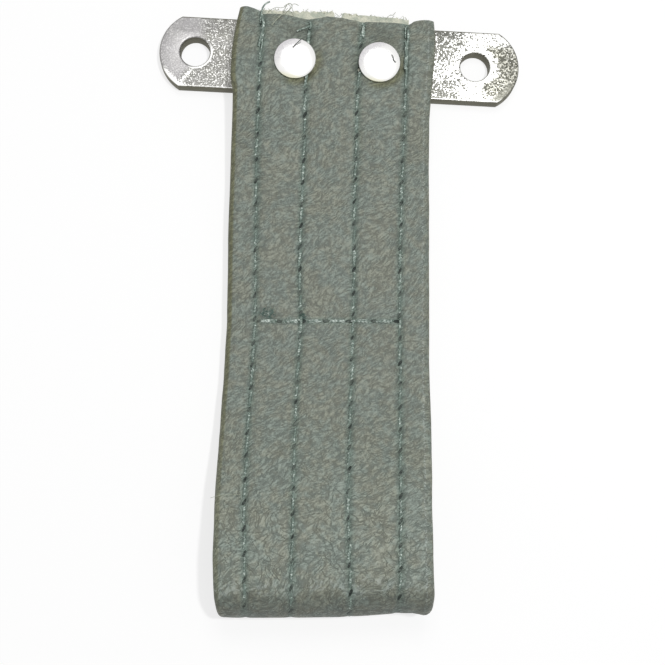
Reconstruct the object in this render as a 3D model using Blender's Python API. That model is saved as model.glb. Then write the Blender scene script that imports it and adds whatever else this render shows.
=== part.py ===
"""Door pull strap: a vinyl sleeve on a flat webbing core, folded in half and riveted to a steel plate.

The origin lies midway between the screw holes, on the plate's back face, which lies on the door.
X runs along the plate, +Y goes from the hand loop to the plate, and +Z points away from the door.
"""
import math

import bmesh
import bpy
import numpy as np
from mathutils import Vector

MM = 0.001

# Mounting plate
PLATE_LENGTH = 74.0 * MM
PLATE_WIDTH = 15.0 * MM
PLATE_THICK = 3.0 * MM
PLATE_END_RADIUS = 8.7 * MM
PLATE_EDGE_BEVEL = 0.3 * MM
PLATE_SHIFT = 0.9 * MM
SCREW_PITCH = 57.6 * MM
SCREW_HOLE = 6.0 * MM
SCREW_CHAMFER = 0.3 * MM

# Rivets
RIVET_PITCH = 17.0 * MM
RIVET_X = 0.25 * MM
RIVET_Y = -2.4 * MM
RIVET_SKEW = math.radians(0.65)
RIVET_HEAD = 8.5 * MM
RIVET_HEAD_HIGH = 1.1 * MM
RIVET_RIM = 0.45 * MM
RIVET_SHANK = 4.0 * MM
RIVET_CLEAR = 0.3 * MM
RIVET_TAIL = 6.4 * MM
TAIL_DEEP = 1.2 * MM
TAIL_RECESS = 0.15 * MM
DISH_DEEP = 0.4 * MM
DISH_MARGIN = 1.8 * MM

# Strap layers, from one face of a leg to the other
VINYL = 0.8 * MM
CORE_THICK = 0.8 * MM
CORE_CLEAR = 0.1 * MM
SLIT = 0.5 * MM
LEG = 2 * VINYL + CORE_THICK + 2 * CORE_CLEAR

# Strap outline
STRAP_WIDTH = 39.9 * MM
STRAP_LENGTH = 119.8 * MM
STRAP_TOP = 7.8 * MM
FOLD_Y = STRAP_TOP - STRAP_LENGTH
SEAM_FROM_TOP = 62.8 * MM
SEAM_Y = STRAP_TOP - SEAM_FROM_TOP
RIVET_SPREAD = 0.55 * MM
SPREAD_RUN = 5.0 * MM
FOLD_SPREAD = 0.4 * MM
END_NARROWING = 0.8 * MM
CORE_STANDS_BACK = 0.4 * MM
EAR_DIP = 1.3 * MM
EAR_STEP = 2.0 * MM
EAR_FADE = 5.0 * MM
STRAP_SKEW = math.radians(1.25)
STRAP_SHIFT = -0.55 * MM
TOP_SLANT = -0.04
FOLD_SLANT = 0.04

# Stitching
ROW_FROM_EDGE = 5.6 * MM
ROW_OUTER = STRAP_WIDTH / 2 - ROW_FROM_EDGE
ROW_INNER = 5.34 * MM
CORE_PAST_ROW = 0.6 * MM
CORE_WIDTH = 2 * (ROW_OUTER + CORE_PAST_ROW)
STITCH_PITCH = 4.8 * MM
THREAD_WIDE = 0.7 * MM
THREAD_THICK = 0.4 * MM
THREAD_DIP = 0.1 * MM
THREAD_RISE = 0.1 * MM
THREAD_CLEAR = 0.12 * MM
GROOVE_SIDE = 0.8 * MM
THREAD_FROM_EDGE = 0.9 * MM
CROSS_FROM_ROW = 1.5 * MM
CROSS_STITCHES = 6
CROSS_PINCH = 0.6
CROSS_OVER = THREAD_THICK - THREAD_DIP + THREAD_CLEAR / 2
FLOOR_CLEAR = 0.05 * MM

# Strap heights: over the plate, between the legs, over the door, and of the hand loop
SEAT_GAP = THREAD_RISE + THREAD_THICK / 2 + THREAD_CLEAR
LEG_GAP = 0.15 * MM
BACK_LIFT = CROSS_OVER + THREAD_THICK / 2 + FLOOR_CLEAR
LOOP_HIGH = 15.0 * MM
DROP_RUN = 20.0 * MM
RISE_START = 9.0 * MM

# How finely curves are cut into flats
SIDE_STEPS = 4
ROUND_STEPS = 32
MOST_TURN = math.radians(8)
MOST_STEP = 9.0 * MM
MOST_SAG = 0.03 * MM
PATH_STEP = 0.25 * MM
MERGE = 0.001 * MM
CUT_PAST = 2.0 * MM
STITCH_PARTS = (0.0, 0.25, 0.75)
CROSS_PARTS = 4
DOME_STEPS = 5


def smooth(value):
    """0 below 0, 1 above 1 and an even S between them."""
    value = np.clip(value, 0.0, 1.0)
    return value * value * (3 - 2 * value)


def clear_scene():
    for obj in list(bpy.data.objects):
        bpy.data.objects.remove(obj, do_unlink=True)


def material(name, colour, roughness, metallic=0.0):
    made = bpy.data.materials.new(name)
    made.use_nodes = True
    shader = made.node_tree.nodes["Principled BSDF"]
    shader.inputs["Base Color"].default_value = (*colour, 1.0)
    shader.inputs["Roughness"].default_value = roughness
    shader.inputs["Metallic"].default_value = metallic
    return made


def object_from(bm, name, finish, parent=None):
    """Closes a bmesh into a named object with one material, its faces pointing out."""
    bmesh.ops.recalc_face_normals(bm, faces=bm.faces[:])
    mesh = bpy.data.meshes.new(name)
    bm.to_mesh(mesh)
    bm.free()
    mesh.materials.append(finish)
    mesh.shade_smooth()
    mesh.set_sharp_from_angle(angle=math.radians(35))
    made = bpy.data.objects.new(name, mesh)
    bpy.context.scene.collection.objects.link(made)
    made.parent = parent
    return made


def turned(name, profile, place, finish=None):
    """A round solid from its half outline, a list of (radius, height) that starts and ends on the axis."""
    bm = bmesh.new()
    corners = [bm.verts.new((radius, 0.0, height)) for radius, height in profile]
    edges = [bm.edges.new(pair) for pair in zip(corners, corners[1:])]
    bmesh.ops.spin(bm, geom=corners + edges, axis=(0, 0, 1), cent=(0, 0, 0), angle=2 * math.pi,
                   steps=ROUND_STEPS, use_merge=True)
    bmesh.ops.remove_doubles(bm, verts=bm.verts[:], dist=MERGE)
    made = object_from(bm, name, finish or bpy.data.materials["cutter"])
    made.location = place
    if finish is None:
        made.hide_render = True
        made.display_type = "WIRE"
    return made


def cut(target, cutter):
    boolean = target.modifiers.new("cut " + cutter.name, "BOOLEAN")
    boolean.operation = "DIFFERENCE"
    boolean.solver = "EXACT"
    boolean.object = cutter


def back_height(y):
    """Height of the back leg's middle layer: on the plate at the top, and near the door below it."""
    on_plate = PLATE_THICK + SEAT_GAP + LEG / 2
    on_door = BACK_LIFT + LEG / 2
    return on_door + (on_plate - on_door) * smooth((y + PLATE_WIDTH / 2 + DROP_RUN) / DROP_RUN)


class Path:
    """The strap's middle layer from the front leg's top end, round the fold and up the back leg."""

    def __init__(self):
        fold_radius = (LOOP_HIGH - BACK_LIFT - LEG) / 2
        self.turn_y = FOLD_Y + LEG / 2 + fold_radius
        down = np.arange(STRAP_TOP, self.turn_y, -PATH_STEP)
        slope = np.gradient(back_height(down), down)
        steep = np.hypot(slope, 1.0)
        apart = LEG + LEG_GAP
        rise_from = SEAM_Y - RISE_START
        risen = smooth((rise_from - down) / (rise_from - self.turn_y))
        opened = risen * (LOOP_HIGH - BACK_LIFT - LEG - apart)
        front = np.column_stack([down - slope / steep * apart, back_height(down) + apart / steep + opened])
        front = front[front[:, 0] <= STRAP_TOP]
        angle = np.linspace(math.pi / 2, -math.pi / 2, 1 + int(math.pi * fold_radius / PATH_STEP))
        middle = (LOOP_HIGH + BACK_LIFT) / 2
        fold = np.column_stack([self.turn_y - fold_radius * np.cos(angle), middle + fold_radius * np.sin(angle)])
        back = np.column_stack([down[::-1], back_height(down[::-1])])
        points = np.concatenate([front, fold, back])
        apart_enough = np.append(True, np.hypot(*np.diff(points, axis=0).T) > PATH_STEP / 5)
        self.points = points[apart_enough]
        along = np.gradient(self.points, axis=0)
        self.tangents = along / np.hypot(*along.T)[:, None]
        self.lengths = np.append(0.0, np.cumsum(np.hypot(*np.diff(self.points, axis=0).T)))
        self.length = self.lengths[-1]

    def at(self, s):
        """(y, z) at this length along the path, and the outward direction there."""
        y, z = (np.interp(s, self.lengths, self.points[:, k]) for k in (0, 1))
        ty, tz = (np.interp(s, self.lengths, self.tangents[:, k]) for k in (0, 1))
        size = math.hypot(ty, tz)
        return Vector((0, y, z)), Vector((0, tz / size, -ty / size))

    def length_at(self, y, back=False):
        """Length along the path where one of the legs passes this y."""
        turn = int(np.argmin(self.points[:, 0]))
        leg = slice(turn, None) if back else slice(turn, None, -1)
        return float(np.interp(y, self.points[leg, 0], self.lengths[leg]))

    def stations(self, start, end):
        """Lengths between these two, close together where the path bends, and at the same places each time."""
        heading = np.unwrap(np.arctan2(self.tangents[:, 1], self.tangents[:, 0]))
        found, last, last_heading = [], 0.0, heading[0]
        for s, now in zip(self.lengths, heading):
            step, turn = s - last, abs(now - last_heading)
            if turn > MOST_TURN or step * turn / 8 > MOST_SAG or step > MOST_STEP:
                found.append(float(s))
                last, last_heading = s, now
        return [start] + [s for s in found if start + PATH_STEP < s < end - PATH_STEP] + [end]


def half_width(y):
    """Half the strap's width: the rivets spread it on the plate, the fold spreads it, the cut end draws in."""
    at_plate = smooth((y + PLATE_WIDTH / 2 + SPREAD_RUN) / (2 * SPREAD_RUN))
    at_fold = smooth((SEAM_Y - RISE_START - y) / (SEAM_Y - RISE_START - FOLD_Y))
    at_end = smooth((y - RIVET_Y) / (STRAP_TOP - RIVET_Y))
    return STRAP_WIDTH / 2 + RIVET_SPREAD * at_plate + FOLD_SPREAD * at_fold - END_NARROWING * at_end


def lie(point):
    """Where a point of the square strap lies on the real one, whose cut end and fold are askew."""
    to_top = smooth((point.y - SEAM_Y) / (STRAP_TOP - SEAM_Y))
    to_fold = smooth((SEAM_Y - point.y) / (SEAM_Y - FOLD_Y))
    return Vector((point.x, point.y + point.x * (TOP_SLANT * to_top + FOLD_SLANT * to_fold), point.z))


def ear_dip(point):
    """How far the sleeve's cut end stands back here from the two ears at the strap's edges."""
    between_ears = 1 - smooth((abs(point.x) - ROW_OUTER + GROOVE_SIDE) / EAR_STEP)
    near_end = max(0.0, 1 - (STRAP_TOP - point.y) / EAR_FADE)
    return Vector((0, EAR_DIP * between_ears * near_end, 0))


def loft(rings, dip=None):
    """A closed solid through rings of points, each ring with as many points, laid as the strap lies."""
    bm = bmesh.new()
    loops = []
    for ring in rings:
        verts = [bm.verts.new(point) for point in ring]
        loops.append([bm.edges.new(pair) for pair in zip(verts, verts[1:] + verts[:1])])
    for first, second in zip(loops, loops[1:]):
        for a, b in zip(first, second):
            bm.faces.new((a.verts[0], a.verts[1], b.verts[1], b.verts[0]))
    caps = [bm.faces.new([edge.verts[0] for edge in loop]) for loop in (loops[0], loops[-1])]
    bm.normal_update()
    bmesh.ops.triangulate(bm, faces=caps, ngon_method="EAR_CLIP")
    for vert in bm.verts:
        vert.co = lie(vert.co - dip(vert.co) if dip else vert.co)
    return bm


def cover_section(half):
    """The sleeve's outline across a leg: x, and height over the leg's middle layer."""
    top = LEG / 2
    hollow = CORE_THICK / 2 + CORE_CLEAR
    hollow_half = CORE_WIDTH / 2 + CORE_CLEAR
    groove = THREAD_WIDE / 2 + THREAD_CLEAR
    groove_low = top - (THREAD_DIP + THREAD_THICK / 2 + THREAD_CLEAR)
    shoulder = ROW_OUTER + groove + GROOVE_SIDE
    before_row = ROW_OUTER - groove - GROOVE_SIDE
    side = [math.pi * step / (2 * SIDE_STEPS) for step in range(SIDE_STEPS + 1)]
    right = [(half - top + top * math.sin(turn), top * math.cos(turn)) for turn in side]
    outer = [(0.0, top)]
    for row in (ROW_INNER, ROW_OUTER):
        outer += [(row - groove - GROOVE_SIDE, top), (row - groove, groove_low),
                  (row + groove, groove_low), (row + groove + GROOVE_SIDE, top)]
    outer += [((shoulder + half - top) / 2, top)] + right
    under = [(x, -z) for x, z in reversed(right[:-1])]
    under += [(before_row, -top), (SLIT / 2, -top), (SLIT / 2, -hollow), (before_row, -hollow),
              (hollow_half, -hollow), (hollow_half, hollow), (before_row, hollow), (0.0, hollow)]
    half_outline = outer + under
    mirrored = [(-x, z) for x, z in reversed(half_outline[1:-1])]
    return half_outline + mirrored


def make_cover(path, parent, finish):
    rings = []
    for s in path.stations(0.0, path.length):
        middle, out = path.at(s)
        section = cover_section(half_width(middle.y))
        rings.append([Vector((x, 0, 0)) + middle + out * height for x, height in section])
    return object_from(loft(rings, ear_dip), "vinyl_cover", finish, parent)


def make_core(path, parent, finish):
    half, thick = CORE_WIDTH / 2, CORE_THICK / 2
    section = [(-half, -thick), (half, -thick), (half, thick), (-half, thick)]
    rings = []
    for s in path.stations(CORE_STANDS_BACK, path.length - CORE_STANDS_BACK):
        middle, out = path.at(s)
        rings.append([Vector((x, 0, 0)) + middle + out * height for x, height in section])
    return object_from(loft(rings), "webbing_core", finish, parent)


def flat_ring(centre, across, out):
    """One cross-section of a thread that the stitching has pressed flat."""
    wide, thick = across * THREAD_WIDE / 2, out * THREAD_THICK / 2
    return [centre + wide, centre + thick, centre - wide, centre - thick]


def make_row(path, name, x, start, end, parent, finish):
    """One row of stitches on the outer face, with a needle hole on the cross seam."""
    seam = path.length_at(SEAM_Y)
    first = math.ceil((start - seam) / STITCH_PITCH)
    last = math.floor((end - seam) / STITCH_PITCH)
    rings = []
    for stitch in range(first, last + 1):
        for part in STITCH_PARTS:
            if stitch == last and part > 0:
                break
            middle, out = path.at(seam + (stitch + part) * STITCH_PITCH)
            height = LEG / 2 + (THREAD_RISE if part else -THREAD_DIP)
            rings.append(flat_ring(Vector((x, 0, 0)) + middle + out * height, Vector((1, 0, 0)), out))
    return object_from(loft(rings), name, finish, parent)


def make_cross(path, name, s, parent, finish):
    """The seam across both legs, which lies on the rows that it crosses."""
    start, end = -ROW_OUTER + CROSS_FROM_ROW, ROW_OUTER
    middle, out = path.at(s)
    along = Vector((0, out.z, -out.y))
    steps = CROSS_PARTS * CROSS_STITCHES
    rings = []
    for step in range(steps + 1):
        pinched = 1.0 if step % CROSS_PARTS else CROSS_PINCH
        across = Vector((start + (end - start) * step / steps, 0, 0))
        rings.append(flat_ring(across + middle + out * (LEG / 2 + CROSS_OVER), along * pinched, out))
    return object_from(loft(rings), name, finish, parent)


def plate_outline():
    """The plate's edge: straight sides, and ends of a radius that meets them at a slight corner."""
    half_turn = math.asin(PLATE_WIDTH / 2 / PLATE_END_RADIUS)
    centre = PLATE_LENGTH / 2 - PLATE_END_RADIUS
    steps = ROUND_STEPS // 2
    turns = [half_turn * (2 * step / steps - 1) for step in range(steps + 1)]
    right = [(centre + PLATE_END_RADIUS * math.cos(t), PLATE_END_RADIUS * math.sin(t)) for t in turns]
    return [(PLATE_SHIFT + x, y) for x, y in right + [(-x, -y) for x, y in right]]


def make_plate(finish):
    bm = bmesh.new()
    base = bm.faces.new([bm.verts.new((x, y, 0.0)) for x, y in plate_outline()])
    raised = bmesh.ops.extrude_face_region(bm, geom=[base])["geom"]
    top = [item for item in raised if isinstance(item, bmesh.types.BMVert)]
    bmesh.ops.translate(bm, verts=top, vec=(0, 0, PLATE_THICK))
    rims = [edge for edge in bm.edges if abs(edge.verts[0].co.z - edge.verts[1].co.z) < PLATE_THICK / 2]
    bmesh.ops.bevel(bm, geom=rims, offset=PLATE_EDGE_BEVEL, segments=2, profile=0.5, affect="EDGES",
                    material=-1)
    plate = object_from(bm, "mounting_plate", finish)
    radius = SCREW_HOLE / 2
    above = PLATE_THICK + CUT_PAST
    screw_cut = [(0, -CUT_PAST), (radius, -CUT_PAST), (radius, PLATE_THICK - SCREW_CHAMFER),
                 (radius + SCREW_CHAMFER + CUT_PAST, above), (0, above)]
    for side in (-1, 1):
        cut(plate, turned(f"screw_cut_{side + 1}", screw_cut, (side * SCREW_PITCH / 2, 0, 0)))
    shank, tail = RIVET_SHANK / 2 + RIVET_CLEAR, RIVET_TAIL / 2 + RIVET_CLEAR
    sink = TAIL_DEEP + RIVET_CLEAR
    rivet_cut = [(0, -CUT_PAST), (tail, -CUT_PAST), (tail, 0), (shank, sink), (shank, above), (0, above)]
    for side in (-1, 1):
        cut(plate, turned(f"rivet_cut_{side + 1}", rivet_cut, rivet_place(side)))
    return plate


def rivet_place(side):
    """Where a rivet stands: -1 is the left one and 1 the right one, on a line that leans a little."""
    from_middle = side * RIVET_PITCH / 2
    return (RIVET_X + from_middle * math.cos(RIVET_SKEW), RIVET_Y + from_middle * math.sin(RIVET_SKEW), 0)


def front_face():
    """Height of the strap's front face where it lies over the plate."""
    return PLATE_THICK + SEAT_GAP + 2 * LEG + LEG_GAP


def cut_for_rivets(cover, core):
    """Holes through both legs, with a dish in the front face where each head pulls the vinyl in."""
    low, high = PLATE_THICK, front_face()
    hole, seat = RIVET_SHANK / 2 + RIVET_CLEAR, RIVET_HEAD / 2 + RIVET_CLEAR
    rim = RIVET_HEAD / 2 + DISH_MARGIN
    dish = [(0, low), (hole, low), (hole, high - DISH_DEEP), (seat, high - DISH_DEEP),
            (2 * rim - seat, high + DISH_DEEP), (0, high + DISH_DEEP)]
    through = [(0, low), (hole, low), (hole, high + CUT_PAST), (0, high + CUT_PAST)]
    for side in (-1, 1):
        cut(cover, turned(f"dish_cut_{side + 1}", dish, rivet_place(side)))
        cut(core, turned(f"core_cut_{side + 1}", through, rivet_place(side)))


def make_rivet(name, side, finish):
    """A low round head on the strap, a shank through both legs and a tail set flush in the plate's back."""
    seat = front_face() - DISH_DEEP + LEG_GAP
    dome = RIVET_HEAD_HIGH - RIVET_RIM
    head, shank, tail = RIVET_HEAD / 2, RIVET_SHANK / 2, RIVET_TAIL / 2
    outline = [(0, TAIL_RECESS), (tail, TAIL_RECESS), (shank, TAIL_DEEP), (shank, seat),
               (head - RIVET_RIM / 2, seat), (head, seat + RIVET_RIM / 2), (head, seat + RIVET_RIM)]
    for step in range(1, DOME_STEPS):
        turn = math.pi / 2 * step / DOME_STEPS
        outline.append((head * math.cos(turn), seat + RIVET_RIM + dome * math.sin(turn)))
    outline.append((0, seat + RIVET_HEAD_HIGH))
    return turned(name, outline, rivet_place(side), finish)


def main():
    clear_scene()
    material("cutter", (0.8, 0.2, 0.2), 0.5)
    vinyl = material("grey_green_vinyl", (0.22, 0.24, 0.21), 0.5)
    thread = material("sea_green_thread", (0.25, 0.34, 0.29), 0.7)
    webbing = material("white_webbing", (0.75, 0.74, 0.68), 0.85)
    zinc = material("zinc_plated_steel", (0.72, 0.72, 0.70), 0.35, 1.0)
    nickel = material("bright_nickel", (0.86, 0.86, 0.85), 0.2, 1.0)

    strap_axis = bpy.data.objects.new("strap_axis", None)
    bpy.context.scene.collection.objects.link(strap_axis)
    strap_axis.location = (STRAP_SHIFT, 0, 0)
    strap_axis.rotation_euler = (0, 0, STRAP_SKEW)

    path = Path()
    cover = make_cover(path, strap_axis, vinyl)
    core = make_core(path, strap_axis, webbing)
    cut_for_rivets(cover, core)

    end_margin = EAR_DIP + THREAD_FROM_EDGE
    below_dish = RIVET_Y - RIVET_HEAD / 2 - DISH_MARGIN
    for number, x in enumerate((-ROW_OUTER, -ROW_INNER, ROW_INNER, ROW_OUTER), 1):
        start, end = end_margin, path.length - end_margin
        if abs(x) < RIVET_PITCH / 2 + RIVET_HEAD / 2:
            start, end = path.length_at(below_dish), path.length_at(below_dish, back=True)
        make_row(path, f"stitch_row_{number}", x, start, end, strap_axis, thread)
    make_cross(path, "cross_stitch_front", path.length_at(SEAM_Y), strap_axis, thread)
    make_cross(path, "cross_stitch_back", path.length_at(SEAM_Y, back=True), strap_axis, thread)

    make_plate(zinc)
    make_rivet("rivet_left", -1, nickel)
    make_rivet("rivet_right", 1, nickel)


main()
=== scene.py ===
"""Looks of a door pull strap: a stitched vinyl sleeve on a webbing band, riveted to a zinc plated plate.

The file is laid out as an add-on and is run as a script. Lengths are in metres, and MM turns millimetres
into them. A place on the strap is x across it and s along it: s starts at the front leg's cut end, runs down
that leg, round the fold at the bottom of the hand loop and up the back leg.
"""
import math

import bmesh
import bpy
import numpy as np
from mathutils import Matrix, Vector, noise


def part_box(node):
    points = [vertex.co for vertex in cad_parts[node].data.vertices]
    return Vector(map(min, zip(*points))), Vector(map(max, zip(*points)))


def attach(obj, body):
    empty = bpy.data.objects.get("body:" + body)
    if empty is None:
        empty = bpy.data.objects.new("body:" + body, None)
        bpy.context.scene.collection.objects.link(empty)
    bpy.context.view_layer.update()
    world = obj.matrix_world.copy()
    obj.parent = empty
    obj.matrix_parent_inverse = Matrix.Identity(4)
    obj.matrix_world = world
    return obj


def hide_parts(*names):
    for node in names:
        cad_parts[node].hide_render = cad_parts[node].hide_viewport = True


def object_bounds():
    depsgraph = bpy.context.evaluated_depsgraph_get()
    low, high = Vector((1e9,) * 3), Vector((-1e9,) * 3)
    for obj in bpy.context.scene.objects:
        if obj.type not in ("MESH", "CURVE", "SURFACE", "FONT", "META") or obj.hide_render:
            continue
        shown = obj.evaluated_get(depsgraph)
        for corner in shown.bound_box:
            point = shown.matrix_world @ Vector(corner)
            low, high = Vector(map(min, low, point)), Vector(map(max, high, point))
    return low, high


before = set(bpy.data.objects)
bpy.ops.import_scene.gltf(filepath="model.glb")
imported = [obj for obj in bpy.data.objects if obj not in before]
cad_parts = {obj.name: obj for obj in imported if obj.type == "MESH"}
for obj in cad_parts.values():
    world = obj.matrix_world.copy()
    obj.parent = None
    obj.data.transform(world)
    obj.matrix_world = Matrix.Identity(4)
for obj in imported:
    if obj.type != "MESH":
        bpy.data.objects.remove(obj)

bl_info = {
    "name": "Door pull strap",
    "version": (1, 0, 0),
    "blender": (4, 5, 0),
    "location": "3D View > Sidebar > Pull Strap",
    "description": "Builds the vinyl sleeve, stitching, plate, rivets and studio of a door pull strap",
    "category": "Object",
}

MM = 0.001
SEED = 7

# What the frame says
CAD_LOW, CAD_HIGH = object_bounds()
PLATE_LOW, PLATE_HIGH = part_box("mounting_plate")
PLATE_LENGTH = PLATE_HIGH.x - PLATE_LOW.x
PLATE_WIDTH = PLATE_HIGH.y - PLATE_LOW.y
PLATE_THICK = PLATE_HIGH.z
LOOP_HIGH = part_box("vinyl_cover")[1].z

# The strap's layers and outline, as in the CAD
VINYL = 0.8 * MM
CORE_THICK = 0.8 * MM
CORE_CLEAR = 0.1 * MM
CORE_WIDTH = 29.9 * MM
LEG = 2 * VINYL + CORE_THICK + 2 * CORE_CLEAR
SLIT = 0.5 * MM
HALF = 19.95 * MM
STRAP_TOP = 7.8 * MM
FOLD_Y = -112.0 * MM
SEAM_Y = -55.0 * MM
STRAP_SKEW = math.radians(1.25)
STRAP_SHIFT = -0.55 * MM
TOP_SLANT = -0.04
FOLD_SLANT = 0.04
SEAT_GAP = 0.42 * MM
LEG_GAP = 0.15 * MM
BACK_LIFT = 0.61 * MM
DROP_RUN = 20.0 * MM
RISE_START = 9.0 * MM
PATH_STEP = 0.25 * MM

# Stitching
ROWS = (-14.35 * MM, -5.34 * MM, 5.34 * MM, 14.35 * MM)
ROW_PITCHES = (4.615 * MM, 4.45 * MM, 4.54 * MM, 4.62 * MM)
ROW_HOLE_Y = (-13.6 * MM, -13.8 * MM, -12.8 * MM, -12.4 * MM)
HOLE_SPREAD = 0.2 * MM
HOLE_LEAN = 0.5
THREAD_WIDE = 0.56 * MM
THREAD_THICK = 0.42 * MM
CROSS_START = -13.2 * MM
CROSS_PITCH = 4.66 * MM
CROSS_STITCHES = 6
CROSS_VISIBLE = 0.64
CROSS_LOWER = 0.09 * MM
CROSS_SLANT = 0.027

# Plate and rivets
PLATE_END_RADIUS = 8.7 * MM
RIVET_HEAD = 8.5 * MM
SCREW_PITCH = 57.6 * MM
SCREW_HOLE = 6.0 * MM


def smooth(value):
    """0 below 0, 1 above 1 and an even S between them."""
    value = np.clip(value, 0.0, 1.0)
    return value * value * (3 - 2 * value)


def hump(distance, width):
    """1 at no distance, falling evenly to nothing past a few widths."""
    return np.exp(-(distance / width) ** 2)


def in_metres(table):
    """The columns of a table of rows in millimetres."""
    return np.array(table).T * MM


def unit(vectors):
    """The same directions with a length of 1."""
    return vectors / np.linalg.norm(vectors, axis=1)[:, None]


def back_height(y):
    """Height of the back leg's middle layer: on the plate at the top, and near the door below it."""
    on_plate = PLATE_THICK + SEAT_GAP + LEG / 2
    on_door = BACK_LIFT + LEG / 2
    return on_door + (on_plate - on_door) * smooth((y + PLATE_WIDTH / 2 + DROP_RUN) / DROP_RUN)


class Path:
    """The strap's middle layer from the front leg's top end, round the fold and up the back leg."""

    def __init__(self):
        fold_radius = (LOOP_HIGH - BACK_LIFT - LEG) / 2
        turn_y = FOLD_Y + LEG / 2 + fold_radius
        down = np.arange(STRAP_TOP, turn_y, -PATH_STEP)
        slope = np.gradient(back_height(down), down)
        steep = np.hypot(slope, 1.0)
        apart = LEG + LEG_GAP
        rise_from = SEAM_Y - RISE_START
        opened = smooth((rise_from - down) / (rise_from - turn_y)) * (LOOP_HIGH - BACK_LIFT - LEG - apart)
        front = np.column_stack([down - slope / steep * apart, back_height(down) + apart / steep + opened])
        front = front[front[:, 0] <= STRAP_TOP]
        angle = np.linspace(math.pi / 2, -math.pi / 2, 1 + int(math.pi * fold_radius / PATH_STEP))
        middle = (LOOP_HIGH + BACK_LIFT) / 2
        fold = np.column_stack([turn_y - fold_radius * np.cos(angle), middle + fold_radius * np.sin(angle)])
        back = np.column_stack([down[::-1], back_height(down[::-1])])
        points = np.concatenate([front, fold, back])
        self.points = points[np.append(True, np.hypot(*np.diff(points, axis=0).T) > PATH_STEP / 5)]
        along = np.gradient(self.points, axis=0)
        self.tangents = along / np.hypot(*along.T)[:, None]
        self.lengths = np.append(0.0, np.cumsum(np.hypot(*np.diff(self.points, axis=0).T)))
        self.length = self.lengths[-1]

    def at(self, s):
        """For each length: y, z, and the outward direction's y and z."""
        y, z = (np.interp(s, self.lengths, self.points[:, k]) for k in (0, 1))
        ty, tz = (np.interp(s, self.lengths, self.tangents[:, k]) for k in (0, 1))
        size = np.hypot(ty, tz)
        return y, z, tz / size, -ty / size

    def length_at(self, y, back=False):
        """Length along the path where one of the legs passes this y."""
        turn = int(np.argmin(self.points[:, 0]))
        leg = slice(turn, None) if back else slice(turn, None, -1)
        return float(np.interp(y, self.points[leg, 0], self.lengths[leg]))


PATH = Path()
SEAM_FRONT = PATH.length_at(SEAM_Y)
SEAM_BACK = PATH.length_at(SEAM_Y, back=True)
FOLD_MIDDLE = float(PATH.lengths[np.argmin(PATH.points[:, 0])])

# Where the strap's left edge, its four rows and its right edge wander, in mm: y, then the six places across
LINES = [
    (8.0, -19.17, -14.55, -4.90, 5.80, 14.50, 20.30),
    (4.0, -19.97, -14.60, -5.00, 5.60, 14.50, 20.60),
    (-1.5, -20.57, -14.70, -5.20, 5.20, 14.50, 20.40),
    (-6.8, -20.57, -14.75, -5.35, 5.00, 14.55, 20.00),
    (-9.6, -20.02, -14.80, -5.40, 4.95, 14.55, 19.75),
    (-13.0, -19.99, -14.85, -5.45, 4.90, 14.55, 19.60),
    (-22.0, -20.05, -14.95, -5.45, 5.00, 14.40, 19.83),
    (-32.0, -20.11, -14.70, -5.60, 4.90, 14.25, 19.97),
    (-43.0, -19.97, -14.50, -5.80, 5.10, 14.20, 20.10),
    (-56.0, -19.72, -14.20, -5.20, 5.05, 14.30, 20.25),
    (-66.0, -19.92, -14.50, -5.65, 5.00, 14.55, 20.45),
    (-78.0, -20.32, -14.95, -5.85, 4.75, 14.50, 20.65),
    (-91.0, -20.52, -14.95, -5.80, 4.50, 14.40, 20.40),
    (-101.0, -20.37, -14.55, -5.75, 4.80, 14.30, 20.45),
    (-108.0, -19.95, -14.20, -5.70, 5.25, 14.30, 20.87),
    (-111.5, -19.32, -14.10, -5.70, 5.30, 14.30, 20.75),
]


def drawn(x, y):
    """Where x across the plain strap lies on the real one, whose edges and rows wander."""
    x, y = np.broadcast_arrays(x, y)
    line_y, *line_x = in_metres(LINES[::-1])
    lines = np.stack([np.interp(y, line_y, one) for one in line_x])
    plain = np.array((-HALF, *ROWS, HALF))
    left = np.clip(np.searchsorted(plain, x) - 1, 0, len(plain) - 2)
    share = (x - plain[left]) / (plain[left + 1] - plain[left])
    left_x, right_x = (np.take_along_axis(lines, side[None], axis=0)[0] for side in (left, left + 1))
    return left_x + share * (right_x - left_x)


# How far the fold's bottom edge stands in from a straight line: x across the strap and the distance, in mm
FOLD_LIFT = [(-20.0, 0.6), (-17.0, 0.45), (-13.0, 0.3), (-8.0, 0.2), (3.0, 0.05), (9.0, 0.25), (14.0, 0.65),
             (17.5, 0.6), (19.5, 0.1)]
LIFT_REACH = 8.0 * MM


def place(x, s, height, stand_back=0.0, measured=False):
    """World places of points x across the strap, s along it and height over its middle layer.

    Measured x are places on the real strap already, and the others are places on the plain one.
    """
    y, z, out_y, out_z = PATH.at(s)
    x = x if measured else drawn(x, y)
    y, z = y + out_y * height - stand_back, z + out_z * height
    to_top = smooth((y - SEAM_Y) / (STRAP_TOP - SEAM_Y))
    to_fold = smooth((SEAM_Y - y) / (SEAM_Y - FOLD_Y))
    lift_x, lift = in_metres(FOLD_LIFT)
    at_fold = smooth((FOLD_Y + LIFT_REACH - y) / LIFT_REACH)
    y = y + x * (TOP_SLANT * to_top + FOLD_SLANT * to_fold) + np.interp(x, lift_x, lift) * at_fold
    across, along = math.cos(STRAP_SKEW), math.sin(STRAP_SKEW)
    return np.stack([x * across - y * along + STRAP_SHIFT, x * along + y * across, z], axis=-1)


def needle_holes(row):
    """Lengths along the strap of one row's needle holes, a little unevenly spaced."""
    chance = np.random.default_rng(SEED + row)
    pitch = ROW_PITCHES[row]
    count = 2 + int(PATH.length / pitch)
    even = PATH.length_at(ROW_HOLE_Y[row]) % pitch + pitch * (np.arange(count) - 1)
    return even + HOLE_SPREAD * np.clip(chance.standard_normal(count), -2, 2)


HOLES = [needle_holes(row) for row in range(len(ROWS))]


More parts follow.
